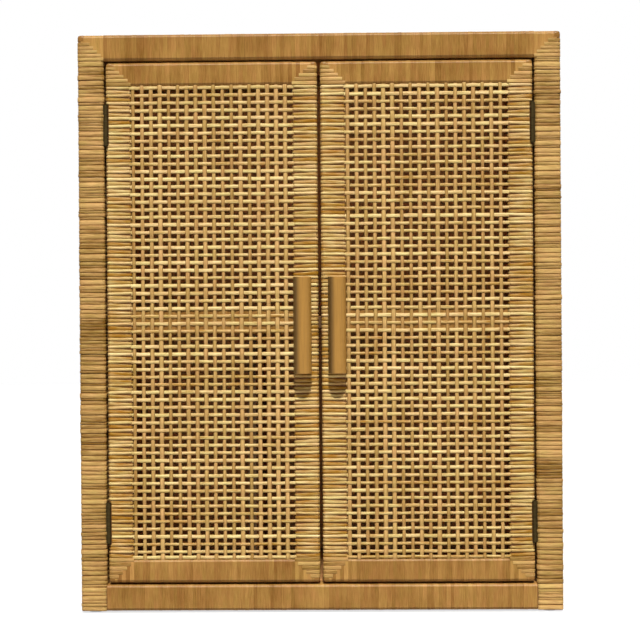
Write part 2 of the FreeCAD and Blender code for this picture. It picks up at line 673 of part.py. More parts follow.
def hinges():
    """Butt hinges, with their leaves let into the cane and their barrels in front of the gap."""
    post_face = -opening - wrap                     # the post's core
    door_face = door_x[0] + wrap                    # the stile's core
    leaf_y = (front + wrap + size.seat_fit, front + wrap + size.seat_fit + size.leaf_width)
    barrel = size.knuckle_radius
    bore = size.hinge_pin_radius + size.running_fit
    axis_x = -opening + barrel + size.barrel_clearance
    axis_y = leaf_y[0] + size.leaf_lap - barrel
    door_leaf_y = (axis_y + barrel + size.barrel_clearance, leaf_y[1])
    post_leaf_x = (post_face, post_face + size.leaf_thickness)
    door_leaf_x = (door_face - size.leaf_thickness, door_face)
    # a post leaf's knuckles reach across the gap, short of the door leaf
    post_web_x = (post_face, door_leaf_x[0] - 2 * size.knuckle_gap)
    post_web_y = (leaf_y[0], leaf_y[0] + size.leaf_thickness)
    # a door leaf's knuckles start halfway through the barrel's wall
    door_web_y = (axis_y + (barrel + size.hinge_pin_radius) / 2, door_leaf_y[0])
    notch_x = (door_x[0] - size.side_gap / 2, axis_x + barrel + 1.5 * size.barrel_clearance)
    notch_y = (front - barrel, axis_y + barrel + size.notch_clearance)
    lower = door_z[0] + size.hinge_above_bottom
    upper = door_z[1] - size.hinge_below_top - size.hinge_length
    sets = {"post_leaves": [], "door_leaves": [], "pins": [], "post_screws": [], "door_screws": []}
    for low in (lower, upper):
        z = (low, low + size.hinge_length)
        leaves = {
            "post": [block("post_leaf", post_leaf_x, leaf_y, z)],
            "door": [block("door_leaf", door_leaf_x, door_leaf_y, z)],
        }
        for index in range(KNUCKLES):
            step = size.hinge_length / KNUCKLES
            slot = inset((low + step * index, low + step * (index + 1)), size.knuckle_gap / 2)
            side = "door" if index % 2 else "post"
            web = (door_leaf_x, door_web_y) if index % 2 else (post_web_x, post_web_y)
            leaves[side].append(block(f"{side}_web", *web, slot))
            tube = [(slot[1] - slot[0], barrel, barrel)]
            leaves[side].append(turned(f"{side}_knuckle", "+z", (axis_x, axis_y, slot[0]), tube))
        pin_hole = turned("pin_hole", "+z", (axis_x, axis_y, low), [(size.hinge_length, bore, bore)])
        for side, direction, face in (("post", "-x", post_leaf_x[1]), ("door", "+x", door_leaf_x[0])):
            holes = f"{side}_leaf_holes"
            cut_into(pin_hole, holes)
            for index in range(SCREWS_PER_LEAF):
                stagger = size.screw_head_radius * (0.6 if index % 2 else -0.6)
                at_y = middle_of(door_leaf_y) + stagger
                at = (face, at_y, low + size.hinge_length * (2 * index + 1) / (2 * SCREWS_PER_LEAF))
                wood = "front_left_post" if side == "post" else "left_hinge_stile"
                item = screw(direction, at, size.hinge_screw_length, holes, wood)
                sets[f"{side}_screws"].append(item)
            blank = joined(f"{side}_leaf_blank", leaves[side])
            leaf = cut(f"{side}_leaf_cut", blank, cutters.pop(holes))
            sets[f"{side}_leaves"].append(leaf)
        pin = size.hinge_pin_radius
        knob = (barrel + size.hinge_pin_radius) / 2
        sections = [(size.hinge_pin_head, knob, knob), (size.hinge_length, pin, pin),
                    (size.hinge_pin_head, knob, knob)]
        start = (axis_x, axis_y, low - size.hinge_pin_head)
        sets["pins"].append(turned("hinge_pin", "+z", start, sections))
        seat_z = inset(z, -size.seat_fit)
        window = block("post_leaf_seat", inset(post_leaf_x, -size.seat_fit),
                       inset(leaf_y, -size.seat_fit), seat_z)
        cut_into(window, "front_left_post_cane")
        window = block("door_leaf_seat", (door_x[0] - size.side_gap / 2, door_face),
                       inset(door_leaf_y, -size.seat_fit), seat_z)
        cut_into(window, "left_hinge_stile_cane")
        notch = block("barrel_notch", notch_x, notch_y, inset(z, -size.hinge_end_clearance))
        cut_into(notch, "left_hinge_stile", "left_hinge_stile_cane")
    add_pair("left_hinge_leaves", grouped("door_leaf_set", sets["door_leaves"]))
    add_pair("left_hinge_screws", grouped("door_screw_set", sets["door_screws"]))
    for name, key in (("post_hinge_leaves", "post_leaves"), ("hinge_pins", "pins"),
                      ("post_hinge_screws", "post_screws")):
        add_node(name, both_sides(f"{key}_set", grouped(f"left_{key}", sets[key])))


def catches():
    """Magnetic catches under the front rail, with a screwed steel plate on each door."""
    face_y = door_y[1] + size.strike_thickness + size.strike_gap
    x = centred(-size.catch_offset, size.catch_length)
    z = (opening_z[1] - size.catch_height, opening_z[1])
    magnet = block("magnet", centred(middle_of(x), size.magnet_length),
                   (face_y, face_y + size.magnet_depth), centred(middle_of(z), size.magnet_height))
    housing = block("housing_blank", x, (face_y, face_y + size.catch_depth), z)
    screws = []
    holes = "left_catch_holes"
    inset_x = (size.catch_length - size.magnet_length) / 4 + size.screw_radius
    for at_x in inset(x, inset_x):
        at = (at_x, face_y + (size.magnet_depth + size.catch_depth) / 2, z[0])
        screws.append(screw("+z", at, size.catch_screw_length, holes))
    tools = cutters.pop(holes)
    case = cut("housing", housing, [magnet] + tools)
    catch = grouped("left_catch", [case, magnet])
    in_rail = both_sides("catch_holes", grouped("left_catch_hole_set", tools))
    cut_into(in_rail, "front_top_rail", "front_top_rail_cane")
    add_node("magnetic_catches", both_sides("catch_set", catch))
    add_node("catch_screws", both_sides("catch_screw_set", grouped("left_catch_screws", screws)))

    strike_y = (door_y[1], door_y[1] + size.strike_thickness)
    strike_middle = middle_of(z) - size.end_gap
    strike = block("strike_blank", x, strike_y, centred(strike_middle, size.strike_height))
    at = (middle_of(x), strike_y[1], strike_middle)
    door_pieces = ("left_door_top_rail", "left_door_top_rail_cane")
    fixing = screw("-y", at, size.hinge_screw_length, "strike", *door_pieces)
    plate = cut("strike_cut", strike, cutters.pop("strike"))
    add_pair("left_strike_plate", grouped("strike_set", [plate, fixing]))


# ---------------------------------------------------------------- assembly

def build():
    """Models everything, then finishes the cut pieces and names the nodes."""
    frame()
    glides()
    panels()
    liners()
    shelf()
    side_cane()
    door_frame()
    door_cane()
    pull()
    hinges()
    catches()
    for name in ("front_left_post", "back_left_post", "left_top_rail", "left_bottom_rail",
                 "left_liner", "left_hinge_stile", "left_free_stile", "left_door_top_rail",
                 "left_door_middle_rail", "left_door_bottom_rail", "left_pull"):
        add_pair(name, finished(name))
    for name in ("front_top_rail", "front_bottom_rail", "back_top_rail", "back_bottom_rail",
                 "top_panel", "top_cane", "bottom_panel", "back_panel", "shelf"):
        add_node(name, finished(name))
    windings = [finished(f"{name}_cane") for name in ("front_left_post", "back_left_post")]
    add_node("post_cane", both_sides("post_windings", grouped("left_post_windings", windings)))
    windings = [finished(f"left_{level}_rail_cane") for level in ("bottom", "top")]
    add_node("side_rail_cane", both_sides("side_windings", grouped("left_side_windings", windings)))
    rails = [f"{end}_{level}_rail" for end in ("front", "back") for level in ("bottom", "top")]
    windings = [finished(f"{name}_cane") for name in rails]
    add_node("rail_cane", grouped("rail_windings", windings))
    members = ("hinge_stile", "free_stile", "door_top_rail", "door_middle_rail", "door_bottom_rail")
    windings = [finished(f"left_{name}_cane") for name in members]
    add_pair("left_door_winding", grouped("door_windings", windings))


def check_and_export():
    """Stops at anything failed or invalid, then writes one file for each node."""
    doc.recompute()
    for item in doc.Objects:
        if {"Invalid", "Error"} & set(item.State):
            raise RuntimeError(f"{item.Label} failed: {item.State}")
    os.makedirs("parts", exist_ok=True)
    for name, item in sorted(nodes.items()):
        shape = item.Shape
        if item.Label != name or shape.isNull() or not shape.isValid() or not shape.Solids:
            raise RuntimeError(f"{name} ({item.Label}) has no valid solid")
    for name, item in sorted(nodes.items()):
        item.Shape.exportStep(f"parts/{name}.step")
        print(f"{name}: {len(item.Shape.Solids)} solids, {item.Shape.Volume / 1000:.1f} cm3")
    print(f"{len(nodes)} nodes")


build()
check_and_export()
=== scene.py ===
"""Cane work and finishes of a record cabinet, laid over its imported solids."""

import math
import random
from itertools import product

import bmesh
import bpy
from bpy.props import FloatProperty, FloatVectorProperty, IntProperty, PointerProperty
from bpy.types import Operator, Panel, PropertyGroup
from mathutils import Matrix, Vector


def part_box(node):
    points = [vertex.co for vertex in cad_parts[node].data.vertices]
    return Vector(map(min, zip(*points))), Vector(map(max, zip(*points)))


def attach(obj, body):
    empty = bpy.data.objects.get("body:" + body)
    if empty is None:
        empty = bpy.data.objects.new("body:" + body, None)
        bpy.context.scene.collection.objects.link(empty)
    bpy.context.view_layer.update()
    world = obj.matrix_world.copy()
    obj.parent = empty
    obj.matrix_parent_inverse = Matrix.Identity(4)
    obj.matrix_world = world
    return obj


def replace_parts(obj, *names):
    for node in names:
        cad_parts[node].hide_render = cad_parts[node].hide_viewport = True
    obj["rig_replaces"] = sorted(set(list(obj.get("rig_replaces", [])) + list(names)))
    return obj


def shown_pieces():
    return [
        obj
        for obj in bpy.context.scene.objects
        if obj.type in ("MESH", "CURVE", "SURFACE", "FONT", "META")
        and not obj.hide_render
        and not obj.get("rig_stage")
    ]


bl_info = {
    "name": "Cane Record Cabinet",
    "version": (1, 0, 0),
    "blender": (4, 5, 0),
    "location": "View3D > Sidebar > Cabinet",
    "description": "Winds and weaves the cane of a record cabinet and finishes its other parts",
    "category": "Object",
}

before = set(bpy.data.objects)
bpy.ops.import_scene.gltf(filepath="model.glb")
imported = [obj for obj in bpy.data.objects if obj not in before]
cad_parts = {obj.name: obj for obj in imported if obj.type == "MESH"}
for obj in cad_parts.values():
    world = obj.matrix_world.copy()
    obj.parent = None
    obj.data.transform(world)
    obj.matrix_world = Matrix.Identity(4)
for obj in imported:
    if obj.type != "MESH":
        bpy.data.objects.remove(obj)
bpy.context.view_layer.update()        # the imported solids, which carry every piece below

MM = 0.001
X, Y, Z = Vector((1, 0, 0)), Vector((0, 1, 0)), Vector((0, 0, 1))
AXES = (X, Y, Z)
SIDES = ("left", "right")
FACES = ("front", "back")
LEVELS = ("top", "bottom")


def linear(colour):
    """An sRGB hex colour as the linear red, green and blue that Blender works in."""
    channels = [int(colour[place:place + 2], 16) / 255 for place in (1, 3, 5)]
    return [c / 12.92 if c <= 0.04045 else ((c + 0.055) / 1.055) ** 2.4 for c in channels]


def add(tree, kind, inputs=None, **settings):
    """Adds a node. An input is a plain value, or another node's output to link from."""
    node = tree.nodes.new(kind)
    for name, value in settings.items():
        setattr(node, name, value)
    for key, value in (inputs or {}).items():
        if isinstance(value, bpy.types.NodeSocket):
            tree.links.new(value, node.inputs[key])
        else:
            node.inputs[key].default_value = value
    return node


# ---------------------------------------------------------------- settings

def length(name, description, default):
    """A length setting, in metres."""
    return FloatProperty(name=name, description=description, default=default, min=0,
                         subtype="DISTANCE", unit="LENGTH", precision=5)


def share(name, description, default):
    """A setting from 0 to 1."""
    return FloatProperty(name=name, description=description, default=default, min=0, max=1,
                         subtype="FACTOR")


def angle(name, description, degrees):
    """An angle setting, shown in degrees."""
    return FloatProperty(name=name, description=description, default=math.radians(degrees),
                         subtype="ANGLE", unit="ROTATION")


def colour(name, description, default):
    """A colour setting, from an sRGB hex value."""
    return FloatVectorProperty(name=name, description=description, default=linear(default),
                               subtype="COLOR", size=3, min=0, max=1)


class WindingSettings(PropertyGroup):
    """Split cane wound round the posts, rails and stiles."""

    post_strand: length("Post strand", "Width of the strands wound on the posts", 6.3 * MM)
    rail_strand: length("Rail strand", "Width of the strands wound on the rails", 6.4 * MM)
    corner_radius: length("Corner radius", "Radius of a strand's turn round an edge", 4.4 * MM)
    post_groove: length("Post groove", "Depth between two strands on a post", 0.65 * MM)
    stile_strand: length("Stile strand", "Width of the round strands on the stiles", 5.8 * MM)
    stile_groove: length("Stile groove", "Depth below each of those strands", 2.2 * MM)
    filling_strand: length("Filling strand", "Width of the strands between them", 6.6 * MM)
    filling_step: length("Filling step", "How far the filling lies behind them", 0.6 * MM)
    foot_groove: length("Foot groove", "Depth between two strands at a post's foot", 0.4 * MM)
    rail_groove: length("Rail groove", "Depth between two strands on a rail", 0.05 * MM)
    top_groove: length("Top groove", "Depth between two strands on the top", 0.4 * MM)
    corner_groove: length("Corner groove", "Depth between two strands on a corner", 0.6 * MM)
    unevenness: share("Unevenness", "How much the strands differ in width", 0.5)
    narrowing: share("Narrowing", "Width lost by a stile's strand at its inner edge", 0.12)
    lean: angle("Lean", "Most that a strand leans from square", 0.9)
    proud: share("Proud", "How much a strand stands out from its neighbours", 0.045)
    wander: length("Wander", "How far neighbouring strands drift together", 1.6 * MM)
    band: IntProperty(name="Band", description="Strands cut from one length of cane",
                      default=6, min=1)
    tone: share("Tone", "How pale the strands are on the whole", 0.41)
    tone_spread: share("Tone spread", "How much the strands differ in tone", 0.9)
    foot_tone: share("Foot tone", "How pale the strands at a post's foot are", 0.7)
    stile_tone: share("Stile tone", "How pale the round strands on the stiles are", 0.46)
    # The filling strands' low tone is partly their own and partly painted shade, as they lie
    # lower than the round strands.
    filling_tone: share("Filling tone", "How pale the strands between them are", 0.16)
    middle_tone: share("Middle rail tone", "How pale the doors' middle rails are", 0.3)
    rail_spread: share("Rail tone spread", "How much the rails' strands differ in tone", 0.35)


class WeaveSettings(PropertyGroup):
    """Plain-woven cane of the doors and sides."""

    strand_width: length("Strand width", "Width of a level strand", 5.5 * MM)
    upright_width: length("Upright width", "Width of an upright strand", 6.3 * MM)
    width_change: share("Width change", "How much the woven strands differ in width", 0.17)
    strand_thickness: length("Strand thickness", "Thickness of a woven strand", 1.7 * MM)
    wave: length("Wave", "How far a strand rises and falls at a crossing", 0.7 * MM)
    wander: length("Wander", "How far neighbouring strands drift together", 1.5 * MM)
    row_pitch: length("Row pitch", "Distance between the doors' level strands", 12.03 * MM)
    level_tone: share("Level tone", "How pale the level strands are on the whole", 0.48)
    upright_tone: share("Upright tone", "How pale the upright strands are on the whole", 0.45)
    tone_spread: share("Tone spread", "How much the woven strands differ in tone", 0.5)
    tuck: length("Tuck", "How far a strand's end runs in under its border", 5 * MM)


class FinishSettings(PropertyGroup):
    """Colours of the cabinet's materials."""

    cane_dark: colour("Dark cane", "Wound cane at its darkest strands", "#7B561C")
    cane_pale: colour("Pale cane", "Wound cane at its palest strands", "#D7AF73")
    rail_dark: colour("Dark rail cane", "Rail cane at its darkest strands", "#704612")
    rail_pale: colour("Pale rail cane", "Rail cane at its palest strands", "#C29456")
    level_dark: colour("Dark level strand", "Level woven strands at their darkest", "#9E6C14")
    level_pale: colour("Pale level strand", "Level woven strands at their palest", "#F6E0A8")
    # Upright strands are set darker than level ones as painted shade, as they catch less light
    # from above; their olive hue is their own.
    upright_dark: colour("Dark upright strand", "Upright strands at their darkest", "#8C652C")
    upright_pale: colour("Pale upright strand", "Upright strands at their palest", "#DCB37A")
    pull_wood: colour("Pull wood", "Turned hardwood of the pulls", "#A57937")
    # The frame wood's dark brown is partly glue and dust and partly painted shade in the gaps
    # between strands.
    frame_wood: colour("Frame wood", "Softwood under the cane", "#6B431D")
    panel_wood: colour("Panel wood", "Stained plywood inside", "#CB9158")
    divider_board: colour("Divider board", "Hardboard of the record dividers", "#C08C55")
    aged_brass: colour("Aged brass", "Dulled brass of the hinges", "#41361F")
    bright_brass: colour("Bright brass", "Brass of the shelf pins", "#C9A55A")
    steel: colour("Steel", "Zinc-plated steel of screws, glides and strikes", "#B9BBBC")
    plastic: colour("Plastic", "Moulded brown plastic of the catches", "#4A2F1E")


class StageSettings(PropertyGroup):
    """Camera, lamps and floor."""

    distance: length("Camera distance", "From the camera to the cabinet's front", 2.6)
    offset: length("Camera offset", "Camera's place to the right of the middle", 0.0504)
    height: length("Camera height", "Camera's place above the floor", 0.4757)
    turn: angle("Turn", "Camera turned towards the right", -1.11)
    tilt: angle("Tilt", "Camera tilted upwards", -0.31)
    roll: angle("Roll", "Camera rolled anticlockwise", -0.39)
    field: angle("Field of view", "Width of the camera's view", 21.97)
    key_height: angle("Key height", "Key light above the horizon", 59.4)
    key_side: angle("Key side", "Key light to the right of straight ahead", 3.0)
    key_spread: angle("Key spread", "Apparent size of the key light", 3.5)
    key_strength: FloatProperty(name="Key strength", description="Light from the key lamp",
                                default=4.9, min=0)
    back_strength: FloatProperty(name="Back strength", default=0.9, min=0,
                                 description="Light from each of the two lamps behind")
    fill_strength: FloatProperty(name="Fill strength", description="Light from all round",
                                 default=0.075, min=0)
    flash_power: FloatProperty(name="Flash power", description="Power of the lamp at the camera",
                               default=14.0, min=0)
    fill_colour: colour("Fill colour", "Warm light thrown back by the room", "#FFEBD0")
    floor_colour: colour("Floor", "Pale studio floor", "#A8A5A0")


class CabinetSettings(PropertyGroup):
    """Everything that can be changed on the cabinet."""

    winding: PointerProperty(type=WindingSettings)
    weave: PointerProperty(type=WeaveSettings)
    finish: PointerProperty(type=FinishSettings)
    stage: PointerProperty(type=StageSettings)


# ---------------------------------------------------------------- places, from the frame

class Box:
    """A box that knows its low corner, high corner, middle and size."""

    def __init__(self, low, high):
        self.low, self.high = Vector(low), Vector(high)
        self.middle = (self.low + self.high) / 2
        self.size = self.high - self.low

    def with_range(self, axis, low, high):
        """The same box with another extent along one axis (0, 1 or 2)."""
        new_low, new_high = self.low.copy(), self.high.copy()
        new_low[axis], new_high[axis] = low, high
        return Box(new_low, new_high)

    def grown(self, margin):
        """The box with a margin added all round."""
        step = Vector((margin, margin, margin))
        return Box(self.low - step, self.high + step)


def node_box(name):
    return Box(*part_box(name))


carcass = node_box("post_cane")
wrap = node_box("front_left_post").low.x - carcass.low.x
post_width = node_box("front_left_post").size.x + 2 * wrap
inner = carcass.grown(-post_width)


def member_range(axis, place):
    """Where the wound members at one end of the carcass lie along an axis."""
    if place in ("left", "front", "bottom"):
        return carcass.low[axis], inner.low[axis]
    return inner.high[axis], carcass.high[axis]


def post_box(side, face):
    """The space of one wound post, below its mitred top corner."""
    column = carcass.with_range(0, *member_range(0, side)).with_range(1, *member_range(1, face))
    return column.with_range(2, carcass.low.z, inner.high.z)


def rail_box(axis, place, level):
    """The space of one wound rail between two posts, along axis 0 or 1; place is a side or a
    face."""
    across = 1 - axis
    rail = inner.with_range(across, *member_range(across, place))
    return rail.with_range(2, *member_range(2, level))


# ---------------------------------------------------------------- strands of cane

class Step:
    """One place along a strand: a point on its outside, the way outwards, whether the surface
    creases there, the strand's width as a share of its full width, and how far its middle
    lies to one side, as a share of that width too."""

    def __init__(self, point, outward, creased=False, width=1.0, shift=0.0):
        self.point, self.outward, self.creased = point, outward, creased
        self.width, self.shift = width, shift


class Strands:
    """Strands of cane gathered into one mesh. Each is a closed strip whose points store
    where they lie along and across it, its tone, and a number of its own."""

    LAYERS = ("along", "across", "tone", "strand")
    FLUSH = 0.2 * MM    # with edges less deep than this, strands lie flush with one another

    def __init__(self):
        self.points, self.faces, self.creases = [], [], []
        self.layers = {name: [] for name in self.LAYERS}

    def lay(self, path, across, profile, closed=False, tone=0.5, strand=0.5):
        """Lays a strand. The path is a list of steps; the profile lists (place across the
        width from -0.5 to 0.5, depth below the outside) and is closed underneath. A strand
        that lies flush with its neighbours is creased along its edges, so that it shows."""
        first, turn = len(self.points), len(profile)
        flush = profile[0][1] < self.FLUSH
        travelled, previous = 0.0, path[0].point
        for step in path:
            travelled += (step.point - previous).length
            previous = step.point
            ring = len(self.points)
            for place, depth in profile:
                self.points.append(step.point + across * (place * step.width + step.shift)
                                   - step.outward * depth)
                for name, value in zip(self.LAYERS, (travelled, 2 * place, tone, strand)):
                    self.layers[name].append(value)
            if step.creased:
                self.creases += [(ring + i, ring + (i + 1) % turn) for i in range(turn)]
        rings = len(path)
        for i in range(rings if closed else rings - 1):
            a, b = first + i * turn, first + (i + 1) % rings * turn
            if flush:
                self.creases += [(a, b), (a + turn - 1, b + turn - 1)]
            for j in range(turn):
                k = (j + 1) % turn
                self.faces.append((a + j, a + k, b + k, b + j))
        if not closed:
            last = first + (rings - 1) * turn
            self.faces.append(tuple(range(first, first + turn)))
            self.faces.append(tuple(reversed(range(last, last + turn))))
            for ring in (first, last):
                self.creases += [(ring + i, ring + (i + 1) % turn) for i in range(turn)]

    def mesh(self, name, material=None):
        """The strands as a mesh with outward faces. Without a material it is a strand to be
        copied by a node tree, which gives every copy its own tone and number."""
        mesh = bpy.data.meshes.new(name)
        mesh.from_pydata([tuple(point) for point in self.points], [], self.faces)
        for layer in self.LAYERS if material else self.LAYERS[:2]:
            attribute = mesh.attributes.new(layer, "FLOAT", "POINT")
            attribute.data.foreach_set("value", self.layers[layer])
        mesh.shade_smooth()
        creases = {tuple(sorted(pair)) for pair in self.creases}
        for edge in mesh.edges:
            edge.use_edge_sharp = tuple(sorted(edge.vertices)) in creases
        face_outwards(mesh)
        if material:
            mesh.materials.append(material)
        return mesh


def face_outwards(mesh):
    """Turns a closed mesh's faces so that they point outwards."""
    work = bmesh.new()
    work.from_mesh(mesh)
    bmesh.ops.recalc_face_normals(work, faces=work.faces)
    work.to_mesh(mesh)
    work.free()


def wound_profile(groove, crown, far_groove=None):
    """A strand's outside: a flat crown, which reaches a share of the width to each side of the
    middle, between two sloping edges. It is flat underneath. The far edge may lie at a depth
    of its own."""
    far = groove if far_groove is None else far_groove
    return [(-0.5, groove), (-crown, 0), (crown, 0), (0.5, far)]


def woven_profile(thickness):
    """A thin strip, rounded outside."""
    half, shoulder = thickness / 2, thickness / 7
    return [(-0.5, half), (-0.3, shoulder), (0, 0), (0.3, shoulder), (0.5, half),
            (0.3, thickness), (-0.3, thickness)]


def ring_path(u_axis, v_axis, width, depth, radius, narrow_side=0, lost=0.0):
    """Once round a rectangle with rounded corners. It starts halfway round a corner, so that
    the strand's measure along itself jumps there, where it shows least. On the narrow side
    (-1 or 1 along u_axis) the strand has lost a share of its width: at its low edge where
    that share is positive, and at its high edge where it is negative."""
    steps = []
    for corner, (u_sign, v_sign) in enumerate(((1, 1), (-1, 1), (-1, -1), (1, -1))):
        centre = u_axis * u_sign * (width / 2 - radius) + v_axis * v_sign * (depth / 2 - radius)
        for step in range(3):
            turned = math.radians(90 * corner + 45 * step)
            outward = u_axis * math.cos(turned) + v_axis * math.sin(turned)
            loss = lost if u_sign == narrow_side else 0.0
            steps.append(Step(centre + outward * radius, outward, step != 1, 1 - abs(loss),
                              loss / 2))
    return steps[1:] + steps[:1]


# ---------------------------------------------------------------- node trees

BAND_SHARE = 0.4            # how much of a strand's tone its band decides
DRIFT_CELLS = 21.0          # patches of drift in a metre, so one is about 48 mm wide
PROUD_POWER = 4.0           # the higher, the fewer strands stand out
# Added to a strand's or a band's number, so that a second draw differs from the first.
BAND_DRAW, LIE_DRAW = 1000.0, 2000.0
BORDER_BLEND = 3 * MM       # past the opening, where a woven strand leaves its wave
END_LENGTH = 4 * MM         # at a woven strand's end, which dips out of sight
END_DIP = 1.2 * MM


def new_tree(name, sockets):
    """A geometry tree with named inputs and one geometry output."""
    tree = bpy.data.node_groups.new(name, "GeometryNodeTree")
    tree.interface.new_socket("Geometry", in_out="INPUT", socket_type="NodeSocketGeometry")
    for socket, kind in sockets:
        tree.interface.new_socket(socket, in_out="INPUT", socket_type=f"NodeSocket{kind}")
    tree.interface.new_socket("Geometry", in_out="OUTPUT", socket_type="NodeSocketGeometry")
    return tree


def stored(tree, geometry, name, value):
    """Stores a number on every instance."""
    return add(tree, "GeometryNodeStoreNamedAttribute",
               {"Geometry": geometry, "Name": name, "Value": value},
               data_type="FLOAT", domain="INSTANCE").outputs["Geometry"]


def toned(tree, geometry, given, index):
    """Stores each strand's own number and its tone, part its own and part its band's."""
    shared = add(tree, "ShaderNodeMath", {0: index, 1: given["Band"]}, operation="DIVIDE")
    group = add(tree, "ShaderNodeMath", {0: shared.outputs[0]}, operation="FLOOR")
    apart = add(tree, "ShaderNodeMath", {0: group.outputs[0], 1: BAND_DRAW}, operation="ADD")
    own = add(tree, "FunctionNodeRandomValue",
              {2: 0.0, 3: 1.0, "ID": index, "Seed": given["Seed"]}, data_type="FLOAT")
    of_band = add(tree, "FunctionNodeRandomValue",
                  {2: 0.0, 3: 1.0, "ID": apart.outputs[0], "Seed": given["Seed"]},
                  data_type="FLOAT")
    tone = add(tree, "ShaderNodeMix",
               {0: BAND_SHARE, 2: own.outputs[1], 3: of_band.outputs[1]}, data_type="FLOAT")
    centred = add(tree, "ShaderNodeMath", {0: tone.outputs[0], 1: 0.5}, operation="SUBTRACT")
    spread = add(tree, "ShaderNodeMath", {0: centred.outputs[0], 1: given["Tone Spread"]},
                 operation="MULTIPLY")
    moved = add(tree, "ShaderNodeMath", {0: spread.outputs[0], 1: given["Tone Middle"]},
                operation="ADD")
    geometry = stored(tree, geometry, "strand", own.outputs[1])
    return stored(tree, geometry, "tone", moved.outputs[0])


def drifting(tree, wander):
    """How far each point drifts with its neighbours, the same in every tree at one place."""
    here = add(tree, "GeometryNodeInputPosition")
    noise = add(tree, "ShaderNodeTexNoise",
                {"Vector": here.outputs[0], "Scale": DRIFT_CELLS, "Detail": 1.0},
                noise_dimensions="3D")
    centred = add(tree, "ShaderNodeVectorMath",
                  {0: noise.outputs["Color"], 1: (0.5, 0.5, 0.5)}, operation="SUBTRACT")
    return add(tree, "ShaderNodeVectorMath", {0: centred.outputs[0], "Scale": wander},
               operation="SCALE").outputs[0]


def finish_tree(tree, given, strands, offset):
    """Moves a tree's strands by an offset, gives them their material and hands them out."""
    moved = add(tree, "GeometryNodeSetPosition", {"Geometry": strands, "Offset": offset})
    finished = add(tree, "GeometryNodeSetMaterial",
                   {"Geometry": moved.outputs[0], "Material": given["Material"]})
    add(tree, "NodeGroupOutput", {0: finished.outputs[0]})
    return tree


def wound_places(tree, given, index):
    """A point for each strand of a winding, and how wide that strand is for its set width.
    The widths are drawn at random and then made to fill the length."""
    count = add(tree, "ShaderNodeMath", {0: given["Length"], 1: given["Strand Width"]},
                operation="DIVIDE")
    whole = add(tree, "ShaderNodeMath", {0: count.outputs[0]}, operation="ROUND")
    points = add(tree, "GeometryNodePoints", {"Count": whole.outputs[0]})
    least = add(tree, "ShaderNodeMath", {0: 1.0, 1: given["Unevenness"]}, operation="SUBTRACT")
    most = add(tree, "ShaderNodeMath", {0: 1.0, 1: given["Unevenness"]}, operation="ADD")
    drawn = add(tree, "FunctionNodeRandomValue",
                {2: least.outputs[0], 3: most.outputs[0], "ID": index, "Seed": given["Seed"]},
                data_type="FLOAT")
    summed = add(tree, "GeometryNodeAccumulateField", {"Value": drawn.outputs[1]},
                 data_type="FLOAT", domain="POINT")
    total = summed.outputs["Total"]
    half = add(tree, "ShaderNodeMath", {0: drawn.outputs[1], 1: 0.5}, operation="MULTIPLY")
    centre = add(tree, "ShaderNodeMath", {0: summed.outputs["Trailing"], 1: half.outputs[0]},
                 operation="ADD")
    reach = add(tree, "ShaderNodeMath", {0: centre.outputs[0], 1: total}, operation="DIVIDE")
    placed = add(tree, "ShaderNodeMath", {0: reach.outputs[0], 1: given["Length"]},
                 operation="MULTIPLY")
    moved = add(tree, "ShaderNodeVectorMath", {0: given["Axis"], "Scale": placed.outputs[0]},
                operation="SCALE")
    position = add(tree, "ShaderNodeVectorMath", {0: given["Start"], 1: moved.outputs[0]},
                   operation="ADD")
    spread = add(tree, "GeometryNodeSetPosition",
                 {"Geometry": points.outputs[0], "Position": position.outputs[0]})
    fraction = add(tree, "ShaderNodeMath", {0: drawn.outputs[1], 1: total}, operation="DIVIDE")
    width = add(tree, "ShaderNodeMath", {0: fraction.outputs[0], 1: given["Length"]},
                operation="MULTIPLY")
    stretch = add(tree, "ShaderNodeMath", {0: width.outputs[0], 1: given["Strand Width"]},
                  operation="DIVIDE")
    return spread.outputs[0], stretch.outputs[0]


def wound_lie(tree, given, index, axis, stretch):
    """The turn and the scale of each strand of a winding: it leans a little, stands a little
    proud and is stretched to its own width along the axis, which has no sign here."""
    other = add(tree, "ShaderNodeMath", {0: index, 1: LIE_DRAW}, operation="ADD")
    chance = add(tree, "FunctionNodeRandomValue",
                 {2: 0.0, 3: 1.0, "ID": other.outputs[0], "Seed": given["Seed"]},
                 data_type="FLOAT")
    # Raised to a power, so that most strands lie level and only a few stand out. Less the
    # power's own mean, so that the strands keep their mean size.
    seldom = add(tree, "ShaderNodeMath", {0: chance.outputs[1], 1: PROUD_POWER},
                 operation="POWER")
    about_level = add(tree, "ShaderNodeMath", {0: seldom.outputs[0], 1: 1 / (PROUD_POWER + 1)},
                      operation="SUBTRACT")
    swell = add(tree, "ShaderNodeMath", {0: about_level.outputs[0], 1: given["Proud"], 2: 1.0},
                operation="MULTIPLY_ADD")
    even = add(tree, "ShaderNodeCombineXYZ", {n: swell.outputs[0] for n in range(3)})
    extra = add(tree, "ShaderNodeMath", {0: stretch, 1: swell.outputs[0]},
                operation="SUBTRACT")
    widening = add(tree, "ShaderNodeVectorMath", {0: axis, "Scale": extra.outputs[0]},
                   operation="SCALE")
    scale = add(tree, "ShaderNodeVectorMath", {0: even.outputs[0], 1: widening.outputs[0]},
                operation="ADD")
    turned_back = add(tree, "ShaderNodeMath", {0: given["Lean"], 1: -1.0}, operation="MULTIPLY")
    low = add(tree, "ShaderNodeCombineXYZ", {n: turned_back.outputs[0] for n in range(3)})
    high = add(tree, "ShaderNodeCombineXYZ", {n: given["Lean"] for n in range(3)})
    any_lean = add(tree, "FunctionNodeRandomValue",
                   {0: low.outputs[0], 1: high.outputs[0], "ID": other.outputs[0],
                    "Seed": given["Seed"]}, data_type="FLOAT_VECTOR")
    across = add(tree, "ShaderNodeVectorMath", {0: (1, 1, 1), 1: axis}, operation="SUBTRACT")
    lean = add(tree, "ShaderNodeVectorMath", {0: any_lean.outputs[0], 1: across.outputs[0]},
               operation="MULTIPLY")
    return lean.outputs[0], scale.outputs[0]


